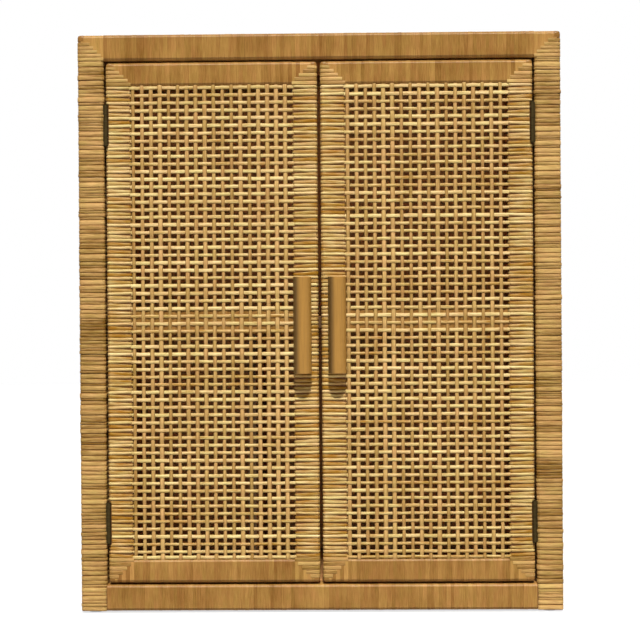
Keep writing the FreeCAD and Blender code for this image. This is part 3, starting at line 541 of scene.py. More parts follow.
def winding_tree():
    """Copies one strand side by side along an axis until a length is covered. Each copy has
    its own width, leans a little and stands a little proud, and neighbours drift together."""
    found = bpy.data.node_groups.get("Wound strands")
    if found:
        return found
    tree = new_tree("Wound strands", (
        ("Start", "Vector"), ("Axis", "Vector"), ("Length", "Float"), ("Strand Width", "Float"),
        ("Unevenness", "Float"), ("Lean", "Float"), ("Proud", "Float"), ("Wander", "Float"),
        ("Band", "Float"), ("Tone Middle", "Float"), ("Tone Spread", "Float"),
        ("Seed", "Int"), ("Material", "Material")))
    given = add(tree, "NodeGroupInput").outputs
    index = add(tree, "GeometryNodeInputIndex").outputs[0]
    axis = add(tree, "ShaderNodeVectorMath", {0: given["Axis"]}, operation="ABSOLUTE").outputs[0]
    places, stretch = wound_places(tree, given, index)
    lean, scale = wound_lie(tree, given, index, axis, stretch)
    copies = add(tree, "GeometryNodeInstanceOnPoints",
                 {"Points": places, "Instance": given["Geometry"], "Rotation": lean,
                  "Scale": scale})
    marked = toned(tree, copies.outputs[0], given, index)
    solid = add(tree, "GeometryNodeRealizeInstances", {0: marked})
    drift = add(tree, "ShaderNodeVectorMath", {0: drifting(tree, given["Wander"]), 1: axis},
                operation="MULTIPLY")
    return finish_tree(tree, given, solid.outputs[0], drift.outputs[0])


def woven_copies(tree, given, index):
    """Copies of a strand in even rows, each a little wider or narrower than the strand. No
    row goes past the limit."""
    points = add(tree, "GeometryNodePoints", {"Count": given["Rows"]})
    less = add(tree, "ShaderNodeMath", {0: given["Width Change"], 1: -1.0},
               operation="MULTIPLY")
    change = add(tree, "FunctionNodeRandomValue",
                 {2: less.outputs[0], 3: given["Width Change"], "ID": index,
                  "Seed": given["Seed"]}, data_type="FLOAT")
    across = add(tree, "ShaderNodeVectorMath", {0: given["Row Step"]}, operation="NORMALIZE")
    unsigned = add(tree, "ShaderNodeVectorMath", {0: across.outputs[0]}, operation="ABSOLUTE")
    widening = add(tree, "ShaderNodeVectorMath",
                   {0: unsigned.outputs[0], "Scale": change.outputs[1]}, operation="SCALE")
    scale = add(tree, "ShaderNodeVectorMath", {0: widening.outputs[0], 1: (1, 1, 1)},
                operation="ADD")
    stepped = add(tree, "ShaderNodeVectorMath", {0: given["Row Step"], "Scale": index},
                  operation="SCALE")
    row_at = add(tree, "ShaderNodeVectorMath", {0: given["First Row"], 1: stepped.outputs[0]},
                 operation="ADD")
    limited = add(tree, "ShaderNodeVectorMath", {0: row_at.outputs[0], 1: given["Row Limit"]},
                  operation="MAXIMUM")
    rows = add(tree, "GeometryNodeSetPosition",
               {"Geometry": points.outputs[0], "Position": limited.outputs[0]})
    return add(tree, "GeometryNodeInstanceOnPoints",
               {"Points": rows.outputs[0], "Instance": given["Geometry"],
                "Scale": scale.outputs[0]}).outputs[0]


def woven_wave(tree, given, here):
    """How far a point of a strand waves over (above 0) or under the strands it crosses. The
    strands of odd rows go under where those of even rows go over."""
    row = add(tree, "GeometryNodeInputNamedAttribute", {"Name": "row"}, data_type="FLOAT")
    from_first = add(tree, "ShaderNodeVectorMath", {0: here, 1: given["First Crossing"]},
                     operation="SUBTRACT")
    travelled = add(tree, "ShaderNodeVectorMath",
                    {0: from_first.outputs[0], 1: given["Crossing Step"]},
                    operation="DOT_PRODUCT")
    phase = add(tree, "ShaderNodeMath",
                {0: travelled.outputs["Value"], 1: given["Crossing Pitch"]}, operation="DIVIDE")
    parity = add(tree, "ShaderNodeMath", {0: row.outputs[0], 1: given["Parity"]},
                 operation="ADD")
    both = add(tree, "ShaderNodeMath", {0: phase.outputs[0], 1: parity.outputs[0]},
               operation="ADD")
    turned = add(tree, "ShaderNodeMath", {0: both.outputs[0], 1: math.pi}, operation="MULTIPLY")
    cosine = add(tree, "ShaderNodeMath", {0: turned.outputs[0]}, operation="COSINE")
    return add(tree, "ShaderNodeMath", {0: cosine.outputs[0], 1: given["Wave"]},
               operation="MULTIPLY").outputs[0]


def woven_height(tree, given, here):
    """How far outwards a point of a strand lies: it waves inside the opening, runs level at
    its border's height past that, and dips at its end."""
    from_middle = add(tree, "ShaderNodeVectorMath", {0: here, 1: given["Woven Middle"]},
                      operation="SUBTRACT")
    off_middle = add(tree, "ShaderNodeVectorMath",
                     {0: from_middle.outputs[0], 1: given["Crossing Step"]},
                     operation="DOT_PRODUCT")
    apart = add(tree, "ShaderNodeMath", {0: off_middle.outputs["Value"]}, operation="ABSOLUTE")
    blend_end = add(tree, "ShaderNodeMath", {0: given["Woven Half"], 1: BORDER_BLEND},
                    operation="ADD")
    border = add(tree, "ShaderNodeMapRange",
                 {"Value": apart.outputs[0], "From Min": given["Woven Half"],
                  "From Max": blend_end.outputs[0]}, interpolation_type="SMOOTHSTEP")
    end_start = add(tree, "ShaderNodeMath", {0: given["Strand Half"], 1: END_LENGTH},
                    operation="SUBTRACT")
    end = add(tree, "ShaderNodeMapRange",
              {"Value": apart.outputs[0], "From Min": end_start.outputs[0],
               "From Max": given["Strand Half"], "To Max": END_DIP})
    lift = add(tree, "ShaderNodeMix",
               {0: border.outputs[0], 2: woven_wave(tree, given, here),
                3: given["Border Lift"]}, data_type="FLOAT")
    return add(tree, "ShaderNodeMath", {0: lift.outputs[0], 1: end.outputs[0]},
               operation="SUBTRACT").outputs[0]


def weaving_tree():
    """Repeats one straight strand in rows and waves each row over and under the strands it
    crosses. Beyond the woven part a strand runs level at the border's own height."""
    found = bpy.data.node_groups.get("Woven strands")
    if found:
        return found
    tree = new_tree("Woven strands", (
        ("Rows", "Int"), ("First Row", "Vector"), ("Row Step", "Vector"), ("Row Limit", "Vector"),
        ("First Crossing", "Vector"), ("Crossing Step", "Vector"), ("Crossing Pitch", "Float"),
        ("Outward", "Vector"), ("Wave", "Float"), ("Woven Middle", "Vector"),
        ("Woven Half", "Float"), ("Border Lift", "Float"), ("Strand Half", "Float"),
        ("Wander", "Float"), ("Parity", "Float"), ("Width Change", "Float"),
        ("Band", "Float"), ("Tone Middle", "Float"), ("Tone Spread", "Float"),
        ("Seed", "Int"), ("Material", "Material")))
    given = add(tree, "NodeGroupInput").outputs
    index = add(tree, "GeometryNodeInputIndex").outputs[0]
    marked = toned(tree, woven_copies(tree, given, index), given, index)
    numbered = stored(tree, marked, "row", index)
    solid = add(tree, "GeometryNodeRealizeInstances", {0: numbered})
    here = add(tree, "GeometryNodeInputPosition").outputs[0]
    rise = add(tree, "ShaderNodeVectorMath",
               {0: given["Outward"], "Scale": woven_height(tree, given, here)},
               operation="SCALE")
    offset = add(tree, "ShaderNodeVectorMath",
                 {0: rise.outputs[0], 1: drifting(tree, given["Wander"])}, operation="ADD")
    return finish_tree(tree, given, solid.outputs[0], offset.outputs[0])


def grown(name, base, tree, inputs):
    """The plain mesh that a node tree makes from a base mesh."""
    holder = bpy.data.objects.new(name, base)
    bpy.context.scene.collection.objects.link(holder)
    modifier = holder.modifiers.new(name, "NODES")
    modifier.node_group = tree
    for item in tree.interface.items_tree:
        if item.in_out == "INPUT" and item.name in inputs:
            modifier[item.identifier] = inputs[item.name]
    depsgraph = bpy.context.evaluated_depsgraph_get()
    mesh = bpy.data.meshes.new_from_object(holder.evaluated_get(depsgraph),
                                           preserve_all_data_layers=True, depsgraph=depsgraph)
    holder.modifiers.remove(modifier)
    bpy.data.objects.remove(holder)
    return mesh


def join(name, meshes):
    """One object made of several meshes."""
    parts = []
    for mesh in meshes:
        part = bpy.data.objects.new(name, mesh)
        bpy.context.scene.collection.objects.link(part)
        parts.append(part)
    if len(parts) > 1:
        with bpy.context.temp_override(active_object=parts[0], object=parts[0],
                                       selected_objects=parts, selected_editable_objects=parts):
            bpy.ops.object.join()
    parts[0].name = name
    parts[0].data.name = name
    return parts[0]


def hand_over(piece, body, slot, *nodes):
    """Gives a finished piece its body and the nodes it stands for. Its slot is not used."""
    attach(piece, body)
    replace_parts(piece, *nodes)


# ---------------------------------------------------------------- materials

MOST_NOISE = {"From Min": 0.3, "From Max": 0.7}     # most values of a noise texture lie here

# A real fibre is about 0.1 mm wide, too fine to see from a step away, so these are about 1 mm.
FIBRE_LENGTH = 22 * MM
FIBRES_TO_EDGE = 3.6        # fibres between a strand's middle and its edge
STRAND_APART = 97.0         # moves one strand's fibres away from the next one's
PATCH_SIZE, PATCH_TONE = 60 * MM, 0.12      # larger patches, and how far they change the tone
DIMMING = 0.8               # how fast a strand dims below its dark colour
HUE_SIZE = 35 * MM
# What the drift of the hue multiplies a strand's colour by, and what the painted shade along its
# edges multiplies it by at the most.
GREENISH, REDDISH = (0.97, 1.03, 0.86, 1), (1.03, 0.98, 0.93, 1)
# Painted shade: a strand's edges are darkened towards this brown, where the grooves between
# strands would lie in shade.
GROOVE_SHADE = (0.45, 0.27, 0.06)
EDGE_START = 0.55           # where a strand's painted edge shade begins, from its middle 0 to its edge 1
LEAST_GROOVE_SHADE = 0.2            # how much of the painted edge shade the least shaded strands have

GRAIN_STRETCH = 28          # a line of wood grain is this many times as long as it is wide


def settings():
    return bpy.context.scene.cane_cabinet


def new_material(name):
    """A material with a Principled shader, and that shader; the tree is emptied first."""
    material = bpy.data.materials.new(name)
    material.use_nodes = True
    tree = material.node_tree
    tree.nodes.clear()
    shader = add(tree, "ShaderNodeBsdfPrincipled")
    add(tree, "ShaderNodeOutputMaterial", {"Surface": shader.outputs[0]})
    return material, tree, shader


def cane_fibres(tree, layer):
    """Fine fibres along a strand, different on each strand."""
    cells = {"along": 1 / FIBRE_LENGTH, "across": FIBRES_TO_EDGE, "strand": STRAND_APART}
    scaled = [add(tree, "ShaderNodeMath", {0: layer[n], 1: cells[n]}, operation="MULTIPLY")
              for n in cells]
    stretched = add(tree, "ShaderNodeCombineXYZ", {n: scaled[n].outputs[0] for n in range(3)})
    return add(tree, "ShaderNodeTexNoise",
               {"Vector": stretched.outputs[0], "Scale": 1.0, "Detail": 3.0,
                "Roughness": 0.65}, noise_dimensions="3D").outputs[0]


def cane_colour(tree, layer, place, fibres, fibre, dark, pale):
    """The colour that a strand's tone stands for. Fibres and larger patches change the tone a
    little, and the hue drifts between greenish and reddish."""
    patches = add(tree, "ShaderNodeTexNoise",
                  {"Vector": place, "Scale": 1 / PATCH_SIZE, "Detail": 3.0},
                  noise_dimensions="3D")
    fibre_tone = add(tree, "ShaderNodeMapRange",
                     {"Value": fibres, "From Min": 0.25, "From Max": 0.75,
                      "To Min": -fibre, "To Max": fibre})
    patch_tone = add(tree, "ShaderNodeMapRange",
                     {"Value": patches.outputs[0], **MOST_NOISE,
                      "To Min": -PATCH_TONE, "To Max": PATCH_TONE})
    in_fibres = add(tree, "ShaderNodeMath", {0: layer["tone"], 1: fibre_tone.outputs[0]},
                    operation="ADD")
    tone = add(tree, "ShaderNodeMath", {0: in_fibres.outputs[0], 1: patch_tone.outputs[0]},
               operation="ADD")
    # From 0 up the tone mixes the dark colour with the pale one. Below 0 it only dims the dark
    # one, because mixed further that would lose its green and turn purple.
    mixing = add(tree, "ShaderNodeMath", {0: tone.outputs[0], 1: 0.0}, operation="MAXIMUM")
    below = add(tree, "ShaderNodeMath", {0: tone.outputs[0], 1: 0.0}, operation="MINIMUM")
    dimmed = add(tree, "ShaderNodeMath", {0: below.outputs[0], 1: DIMMING, 2: 1.0},
                 operation="MULTIPLY_ADD")
    mixed = add(tree, "ShaderNodeMix", {0: mixing.outputs[0], 6: (*dark, 1), 7: (*pale, 1)},
                data_type="RGBA", clamp_factor=False)
    base = add(tree, "ShaderNodeVectorMath", {0: mixed.outputs[2], "Scale": dimmed.outputs[0]},
               operation="SCALE")
    beside = add(tree, "ShaderNodeVectorMath", {0: place, 1: layer["strand"]}, operation="ADD")
    hues = add(tree, "ShaderNodeTexNoise",
               {"Vector": beside.outputs[0], "Scale": 1 / HUE_SIZE, "Detail": 2.0},
               noise_dimensions="3D")
    hue = add(tree, "ShaderNodeMapRange",
              {"Value": hues.outputs[0], "From Min": 0.35, "From Max": 0.65})
    tint = add(tree, "ShaderNodeMix", {0: hue.outputs[0], 6: GREENISH, 7: REDDISH},
               data_type="RGBA")
    return add(tree, "ShaderNodeVectorMath", {0: base.outputs[0], 1: tint.outputs[2]},
               operation="MULTIPLY").outputs[0]


def groove_shaded(tree, layer, colour_in, edge_shade):
    """A colour turned a deeper brown along a strand's edges, as painted shade of the grooves
    between strands, and more so on some strands than on others."""
    side = add(tree, "ShaderNodeMath", {0: layer["across"]}, operation="ABSOLUTE")
    shade_depth = add(tree, "ShaderNodeMapRange", {"Value": layer["strand"],
                                            "To Min": edge_shade * LEAST_GROOVE_SHADE,
                                            "To Max": edge_shade})
    edge = add(tree, "ShaderNodeMapRange",
               {"Value": side.outputs[0], "From Min": EDGE_START, "From Max": 1.0,
                "To Min": 0.0, "To Max": shade_depth.outputs[0]})
    brown = add(tree, "ShaderNodeVectorMath", {0: colour_in, 1: GROOVE_SHADE}, operation="MULTIPLY")
    return add(tree, "ShaderNodeMix", {0: edge.outputs[0], 6: colour_in, 7: brown.outputs[0]},
               data_type="RGBA").outputs[2]


def cane(name, dark, pale, fibre, edge_shade, roughness, gloss):
    """Split cane. Its tone differs from strand to strand, fine fibres follow it lengthwise and
    change the tone by up to fibre, and edge_shade darkens its edges as painted shade of the
    grooves between strands."""
    found = bpy.data.materials.get(name)
    if found:
        return found
    material, tree, shader = new_material(name)
    layer = {n: add(tree, "ShaderNodeAttribute", attribute_name=n).outputs["Fac"]
             for n in Strands.LAYERS}
    place = add(tree, "ShaderNodeTexCoord").outputs["Object"]
    fibres = cane_fibres(tree, layer)
    tinted = cane_colour(tree, layer, place, fibres, fibre, dark, pale)
    bump = add(tree, "ShaderNodeBump", {"Height": fibres, "Strength": 0.5,
                                        "Distance": 0.7 * MM})
    # Painted shade: the colour darkens along every strand's edges.
    tree.links.new(groove_shaded(tree, layer, tinted, edge_shade), shader.inputs["Base Color"])
    tree.links.new(bump.outputs[0], shader.inputs["Normal"])
    shader.inputs["Roughness"].default_value = roughness
    shader.inputs["Specular IOR Level"].default_value = gloss
    return material


def post_cane_finish():
    """Peeled rattan core, split and wound damp: matt, honey coloured, each strand rounded."""
    finish = settings().finish
    return cane("Wound rattan core", finish.cane_dark, finish.cane_pale, fibre=0.5,
                edge_shade=0.9, roughness=0.42, gloss=0.12)


def rail_cane_finish():
    """The same core laid flatter and rubbed smooth, a little darker."""
    finish = settings().finish
    return cane("Smooth wound rattan", finish.rail_dark, finish.rail_pale, fibre=0.25,
                edge_shade=0.05, roughness=0.35, gloss=0.15)


def level_cane_finish():
    """Flat binding cane with its bark side out: pale, with a soft shine."""
    finish = settings().finish
    return cane("Binding cane, bark side", finish.level_dark, finish.level_pale, fibre=0.5,
                edge_shade=0.8, roughness=0.36, gloss=0.15)


def upright_cane_finish():
    """Flat binding cane, olive-tan and dull; its olive hue is its own, and it is set darker than
    the level strands as painted shade, since upright strands catch less light from above.
    """
    finish = settings().finish
    return cane("Binding cane, upright, painted shade", finish.upright_dark, finish.upright_pale, fibre=0.4,
                edge_shade=0.5, roughness=0.5, gloss=0.12)


class PaintedShade:
    """Where shade is painted onto wood: what is measured (Object for a place, Normal for the way
    a face looks), the direction it is measured in, where the painted shade starts and ends, and
    the share of the colour that is left at its end."""

    def __init__(self, measured, direction, start, end, left):
        self.measured, self.direction = measured, direction
        self.start, self.end, self.left = start, end, left


def shaded_front_edge(node):
    """The front edges of a node's boards, darkened as painted shade."""
    front = node_box(node).low.y
    return PaintedShade("Object", Y, start=front + 2 * MM, end=front + 1 * MM, left=0.2)


def wood(name, base_colour, grain_axis, contrast, grain_width, roughness, painted_shade=None):
    """Wood with grain drawn along one axis (0, 1 or 2) at a real width, and painted shade where
    it is asked for.
    """
    found = bpy.data.materials.get(name)
    if found:
        return found
    material, tree, shader = new_material(name)
    place = add(tree, "ShaderNodeTexCoord")
    squeeze = [1 / grain_width] * 3
    squeeze[grain_axis] = 1 / (GRAIN_STRETCH * grain_width)
    mapped = add(tree, "ShaderNodeMapping",
                 {"Vector": place.outputs["Object"], "Scale": squeeze})
    grain = add(tree, "ShaderNodeTexNoise",
                {"Vector": mapped.outputs[0], "Scale": 1.0, "Detail": 4.0, "Roughness": 0.6,
                 "Distortion": 0.4}, noise_dimensions="3D")
    tone = add(tree, "ShaderNodeMapRange", {"Value": grain.outputs[0], **MOST_NOISE,
                                            "To Min": 1 - contrast, "To Max": 1 + contrast})
    tinted = add(tree, "ShaderNodeVectorMath", {0: tuple(base_colour), "Scale": tone.outputs[0]},
                 operation="SCALE")
    # Painted shade: the colour darkens along the given direction.
    if painted_shade:
        value = add(tree, "ShaderNodeVectorMath",
                    {0: place.outputs[painted_shade.measured], 1: painted_shade.direction},
                    operation="DOT_PRODUCT")
        kept = add(tree, "ShaderNodeMapRange",
                   {"Value": value.outputs["Value"], "From Min": painted_shade.start,
                    "From Max": painted_shade.end, "To Min": 1.0, "To Max": painted_shade.left})
        tinted = add(tree, "ShaderNodeVectorMath",
                     {0: tinted.outputs[0], "Scale": kept.outputs[0]}, operation="SCALE")
    bump = add(tree, "ShaderNodeBump", {"Height": grain.outputs[0], "Strength": 0.2,
                                        "Distance": 0.3 * MM})
    tree.links.new(tinted.outputs[0], shader.inputs["Base Color"])
    tree.links.new(bump.outputs[0], shader.inputs["Normal"])
    shader.inputs["Roughness"].default_value = roughness
    shader.inputs["Specular IOR Level"].default_value = 0.3
    return material


def frame_finish(grain_axis):
    """Planed pine, dark brown, partly from glue and dust and partly as painted shade of the gaps
    between strands, where it shows: dull, with faint straight grain.
    """
    return wood(f"Planed pine, grain along {'xyz'[grain_axis]}", settings().finish.frame_wood,
                grain_axis, contrast=0.18, grain_width=3 * MM, roughness=0.6)


def panel_finish(grain_axis):
    """Birch plywood under a thin stain: warm tan with a broad, soft grain, and painted shade on
    its front edges.
    """
    return wood(f"Birch plywood, grain along {'xyz'[grain_axis]}", settings().finish.panel_wood,
                grain_axis, contrast=0.25, grain_width=4 * MM, roughness=0.5,
                painted_shade=shaded_front_edge("shelf"))


def divider_finish():
    """Pressed hardboard under the same stain: even, with hardly any grain, and painted shade on
    its front edges.
    """
    return wood("Stained hardboard", settings().finish.divider_board, 2, contrast=0.1,
                grain_width=2 * MM, roughness=0.6, painted_shade=shaded_front_edge("record_dividers"))


def pull_finish():
    """Hardwood under wax: honey brown, with fine upright grain and a low shine. The flank that
    faces left is darkened as painted shade."""
    # Painted shade: faces turned to the left keep as little as 0.3 of the colour.
    return wood("Waxed hardwood", settings().finish.pull_wood, 2, contrast=0.14,
                grain_width=2.2 * MM, roughness=0.42,
                painted_shade=PaintedShade("Normal", -X, start=0.2, end=0.7, left=0.3))


def metal(name, base_colour, patch_size, contrast, roughness):
    """Metal with cloudy patches of tarnish or plating, duller where they are dark."""
    material, tree, shader = new_material(name)
    place = add(tree, "ShaderNodeTexCoord")
    patches = add(tree, "ShaderNodeTexNoise",
                  {"Vector": place.outputs["Object"], "Scale": 1 / patch_size, "Detail": 3.0},
                  noise_dimensions="3D")
    tone = add(tree, "ShaderNodeMapRange", {"Value": patches.outputs[0], **MOST_NOISE,
                                            "To Min": 1 - contrast, "To Max": 1 + contrast})
    tinted = add(tree, "ShaderNodeVectorMath", {0: tuple(base_colour), "Scale": tone.outputs[0]},
                 operation="SCALE")
    dulled = add(tree, "ShaderNodeMapRange", {"Value": patches.outputs[0], **MOST_NOISE,
                                              "To Min": roughness + 0.12,
                                              "To Max": roughness - 0.08})
    tree.links.new(tinted.outputs[0], shader.inputs["Base Color"])
    tree.links.new(dulled.outputs[0], shader.inputs["Roughness"])
    shader.inputs["Metallic"].default_value = 1.0
    return material


def moulded_plastic():
    """Injection-moulded brown ABS with a fine spark-eroded texture, which makes it half matt."""
    material, tree, shader = new_material("Moulded brown ABS")
    place = add(tree, "ShaderNodeTexCoord")
    texture = add(tree, "ShaderNodeTexNoise",
                  {"Vector": place.outputs["Object"], "Scale": 1 / (0.6 * MM), "Detail": 2.0},
                  noise_dimensions="3D")
    bump = add(tree, "ShaderNodeBump", {"Height": texture.outputs[0], "Strength": 0.25,
                                        "Distance": 0.1 * MM})
    tree.links.new(bump.outputs[0], shader.inputs["Normal"])
    shader.inputs["Base Color"].default_value = (*settings().finish.plastic, 1)
    shader.inputs["Roughness"].default_value = 0.45
    return material


# ---------------------------------------------------------------- winding

# How far a strand's flat crown reaches to each side of its middle, as a share of its width.
POST_CROWN, RAIL_CROWN, CORNER_CROWN = 0.38, 0.4, 0.36
# The strands of a rail match better than those of a post: their unevenness and their band,
# and shares of a post's lean, proudness and wander.
RAIL_UNEVENNESS, RAIL_BAND = 0.2, 2.0
RAIL_LEAN, RAIL_PROUD, RAIL_WANDER = 0.4, 0.25, 0.5
STILE_PROUD = 0.012         # how much a stile's strand stands out from its neighbours
# Strands of a mitred corner: how far each reaches past the mitre, in widths, how much wider
# it is than its pitch, and the tone of the darkest and how much paler the palest is.
MITRE_OVERRUN, MITRE_LAP = 0.8, 1.04
MITRE_TONE, MITRE_SPREAD = 0.2, 0.6
# Strands on a corner of the carcass, and how far each set of them lies over or under the
# members' own strands, so that no two sets share a plane.
CARCASS_CORNER_STRANDS = 7
POST_LIFT, FACE_RAIL_LIFT, SIDE_RAIL_LIFT = 0.2 * MM, -0.25 * MM, -0.5 * MM
CAP_SINK, CAP_TONE = 0.1 * MM, 0.4      # the cap under a corner keeps this far inside it
TOP_STEPS = 12              # lengthwise pieces of a strand on the top, which let it wander


def winding_inputs(changed):
    """The winding tree's inputs as on a post, with some changed or added."""
    winding = settings().winding
    return {"Unevenness": winding.unevenness, "Lean": winding.lean, "Proud": winding.proud,
            "Wander": winding.wander, "Band": float(winding.band), "Tone Middle": winding.tone,
            "Tone Spread": winding.tone_spread, "Material": post_cane_finish(), **changed}


def rail_inputs(changed):
    """The winding tree's inputs as on a rail, with some changed or added."""
    winding = settings().winding
    return winding_inputs({
        "Unevenness": RAIL_UNEVENNESS, "Lean": winding.lean * RAIL_LEAN,
        "Proud": winding.proud * RAIL_PROUD, "Wander": winding.wander * RAIL_WANDER,
        "Band": RAIL_BAND, "Tone Spread": winding.rail_spread, "Material": rail_cane_finish(),
        **changed})


def wind(name, box, axis, strand_width, groove, crown, inputs):
    """Winds strands round a member along its axis (0, 1 or 2) and returns the mesh."""
    u, v = [n for n in range(3) if n != axis]
    one = Strands()
    path = ring_path(AXES[u], AXES[v], box.size[u], box.size[v],
                     settings().winding.corner_radius)
    one.lay(path, AXES[axis] * strand_width, wound_profile(groove, crown), closed=True)
    start = box.middle.copy()
    start[axis] = box.low[axis]
    return grown(name, one.mesh(name), winding_tree(), {
        **inputs, "Start": start, "Axis": AXES[axis], "Length": box.size[axis],
        "Strand Width": strand_width})


class StileStrand:
    """One of the two kinds of strand that take turns down a stile: how far below the woven
    strands it lies, its width, how far it lies back, the width it loses towards the weave,
    its profile, the middle of its tones, and its seed."""

    def __init__(self, drop, width, back, lost, profile, tone, seed):
        self.drop, self.width, self.back, self.lost = drop, width, back, lost
        self.profile, self.tone, self.seed = profile, tone, seed


def wind_stile(name, stile, kind, first, count, narrow_side):
    """Winds one kind of strand round a stile, counted down from the first, with room between
    them for the other kind."""
    winding, weave = settings().winding, settings().weave
    one = Strands()
    path = ring_path(X, Y, stile.size.x, stile.size.y - 2 * kind.back,
                     winding.corner_radius, narrow_side, kind.lost)
    one.lay(path, Z * kind.width, kind.profile, closed=True)
    start = stile.middle.copy()
    start.z = first - kind.drop + weave.row_pitch / 2
    inputs = winding_inputs({
        "Unevenness": 0.0, "Proud": STILE_PROUD, "Wander": weave.wander, "Band": 1.0,
        "Tone Middle": kind.tone, "Tone Spread": weave.tone_spread, "Seed": kind.seed,
        "Start": start, "Axis": -Z, "Length": count * weave.row_pitch,
        "Strand Width": weave.row_pitch, "Material": level_cane_finish()})
    return grown(name, one.mesh(name), winding_tree(), inputs)


def bent(points, radius):
    """A path with rounded bends at the points between its ends. Each point comes with the
    outward side of the stretch after it, and the last one with that of the stretch before."""
    steps = []
    for place, (point, outward) in enumerate(points):
        if place in (0, len(points) - 1):
            steps.append(Step(point, outward))
            continue
        before, after = points[place - 1][1], outward
        centre = point - (before + after) * radius
        for turn in (0, 0.5, 1):
            facing = (before * (1 - turn) + after * turn).normalized()
            steps.append(Step(centre + facing * radius, facing, turn != 0.5))
    return steps


def mitre(strands, corner, leg, step, faces, reach, depth, count, groove, lift, seed,
          skipped=1, backed=False):
    """Lays the strands of one half of a mitred corner. They run along leg from the mitre to
    the edge and turn back over it, and on over the back where that is asked for. They lie
    side by side along step, starting short at the outer corner. faces holds the outward sides
    of the front and of the edge, and reach how far the corner extends along leg and step."""
    front, edge = faces
    pitch = reach[1] / count
    draw = random.Random(seed)
    for number in range(skipped, count):
        along = (number + 0.5) / count
        length_share = min(along + MITRE_OVERRUN / count, 1.0)
        run = leg * reach[0] * length_share
        back = -front * (depth if backed else depth * length_share)
        at = corner + step * reach[1] * along
        points = [(at + run + front * lift, front), (at + front * lift + edge * lift, edge),
                  (at + back + edge * lift, edge)]
        if backed:
            points[2] = (at + back + edge * lift - front * lift, -front)
            points.append((at + back + run - front * lift, -front))
        own = draw.random()
        strands.lay(bent(points, settings().winding.corner_radius), step * pitch * MITRE_LAP,
                    wound_profile(groove, CORNER_CROWN), tone=MITRE_TONE + MITRE_SPREAD * own,
                    strand=own)


def corner_cap(corner, far_corner):
    """A rounded block of cane under the ends of a corner's strands."""
    box = Box(map(min, corner, far_corner), map(max, corner, far_corner)).grown(-CAP_SINK)
    work = bmesh.new()
    bmesh.ops.create_cube(work, size=1.0)
    for vertex in work.verts:
        vertex.co = box.middle + Vector(c * s for c, s in zip(vertex.co, box.size))
    bmesh.ops.bevel(work, geom=work.edges, offset=settings().winding.corner_radius,
                    offset_type="OFFSET", segments=3, profile=0.5, affect="EDGES")
    mesh = bpy.data.meshes.new("corner_cap")
    work.to_mesh(mesh)
    work.free()
    for layer in Strands.LAYERS:
        attribute = mesh.attributes.new(layer, "FLOAT", "POINT")
        attribute.data.foreach_set("value", [CAP_TONE] * len(mesh.vertices))
    mesh.shade_smooth()
    mesh.materials.append(rail_cane_finish())
    return mesh


def carcass_corners(posts, rails, side, face):
    """Lays the three sets of strands that meet at one top corner of the carcass among the
    posts' and the rails' strands, and returns the cap under them."""
    winding = settings().winding
    side_out = -X if side == "left" else X
    face_out = -Y if face == "front" else Y
    corner = Vector((carcass.low.x if side == "left" else carcass.high.x,
                     carcass.low.y if face == "front" else carcass.high.y, carcass.high.z))
    square = (post_width, post_width)
    mitre(posts, corner, -side_out, -Z, (face_out, side_out), square, post_width,
          CARCASS_CORNER_STRANDS, winding.corner_groove, POST_LIFT, seed=3, skipped=2)
    mitre(rails, corner, -Z, -side_out, (face_out, Z), square, post_width,
          CARCASS_CORNER_STRANDS, winding.rail_groove, FACE_RAIL_LIFT, seed=5)
    mitre(rails, corner, -Z, -face_out, (side_out, Z), square, post_width,
          CARCASS_CORNER_STRANDS, winding.rail_groove, SIDE_RAIL_LIFT, seed=7)
    return corner_cap(corner, corner - (side_out + face_out + Z) * post_width / 3)


class CABINET_OT_wind_posts(Operator):
    """Wind cane round the four posts and their mitred top corners"""

    bl_idname = "cane_cabinet.wind_posts"
    bl_label = "Wind the Posts"

    def execute(self, context):
        winding = settings().winding
        meshes = []
        post_corners, rail_corners = Strands(), Strands()
        for number, (face, side) in enumerate(product(FACES, SIDES)):
            post = post_box(side, face)
            shank = post.with_range(2, inner.low.z, post.high.z)
            foot = post.with_range(2, post.low.z, inner.low.z)
            meshes.append(wind(f"{face}_{side}_post_strands", shank, 2, winding.post_strand,
                               winding.post_groove, POST_CROWN,
                               winding_inputs({"Seed": 10 + number})))
            meshes.append(wind(f"{face}_{side}_foot_strands", foot, 2, winding.post_strand,
                               winding.foot_groove, POST_CROWN,
                               winding_inputs({"Seed": 20 + number,
                                               "Tone Middle": winding.foot_tone})))
            meshes.append(carcass_corners(post_corners, rail_corners, side, face))
        meshes.append(post_corners.mesh("post_corner_strands", post_cane_finish()))
        meshes.append(rail_corners.mesh("rail_corner_strands", rail_cane_finish()))
        hand_over(join("post_winding", meshes), "cabinet", "wound_cane", "post_cane")
        return {"FINISHED"}


class CABINET_OT_wind_rails(Operator):
    """Wind cane round the eight rails of the carcass"""

    bl_idname = "cane_cabinet.wind_rails"
    bl_label = "Wind the Rails"

    def execute(self, context):
        winding = settings().winding
        kinds = (("rail_winding", "rail_cane", 0, FACES),
                 ("side_rail_winding", "side_rail_cane", 1, SIDES))
        for name, node, axis, places in kinds:
            meshes = [wind(f"{place}_{level}_rail_strands", rail_box(axis, place, level), axis,
                           winding.rail_strand, winding.rail_groove, RAIL_CROWN,
                           rail_inputs({"Seed": 30 + 10 * axis + number}))
                      for number, (place, level) in enumerate(product(places, LEVELS))]
            hand_over(join(name, meshes), "cabinet", "wound_cane", node)
        return {"FINISHED"}


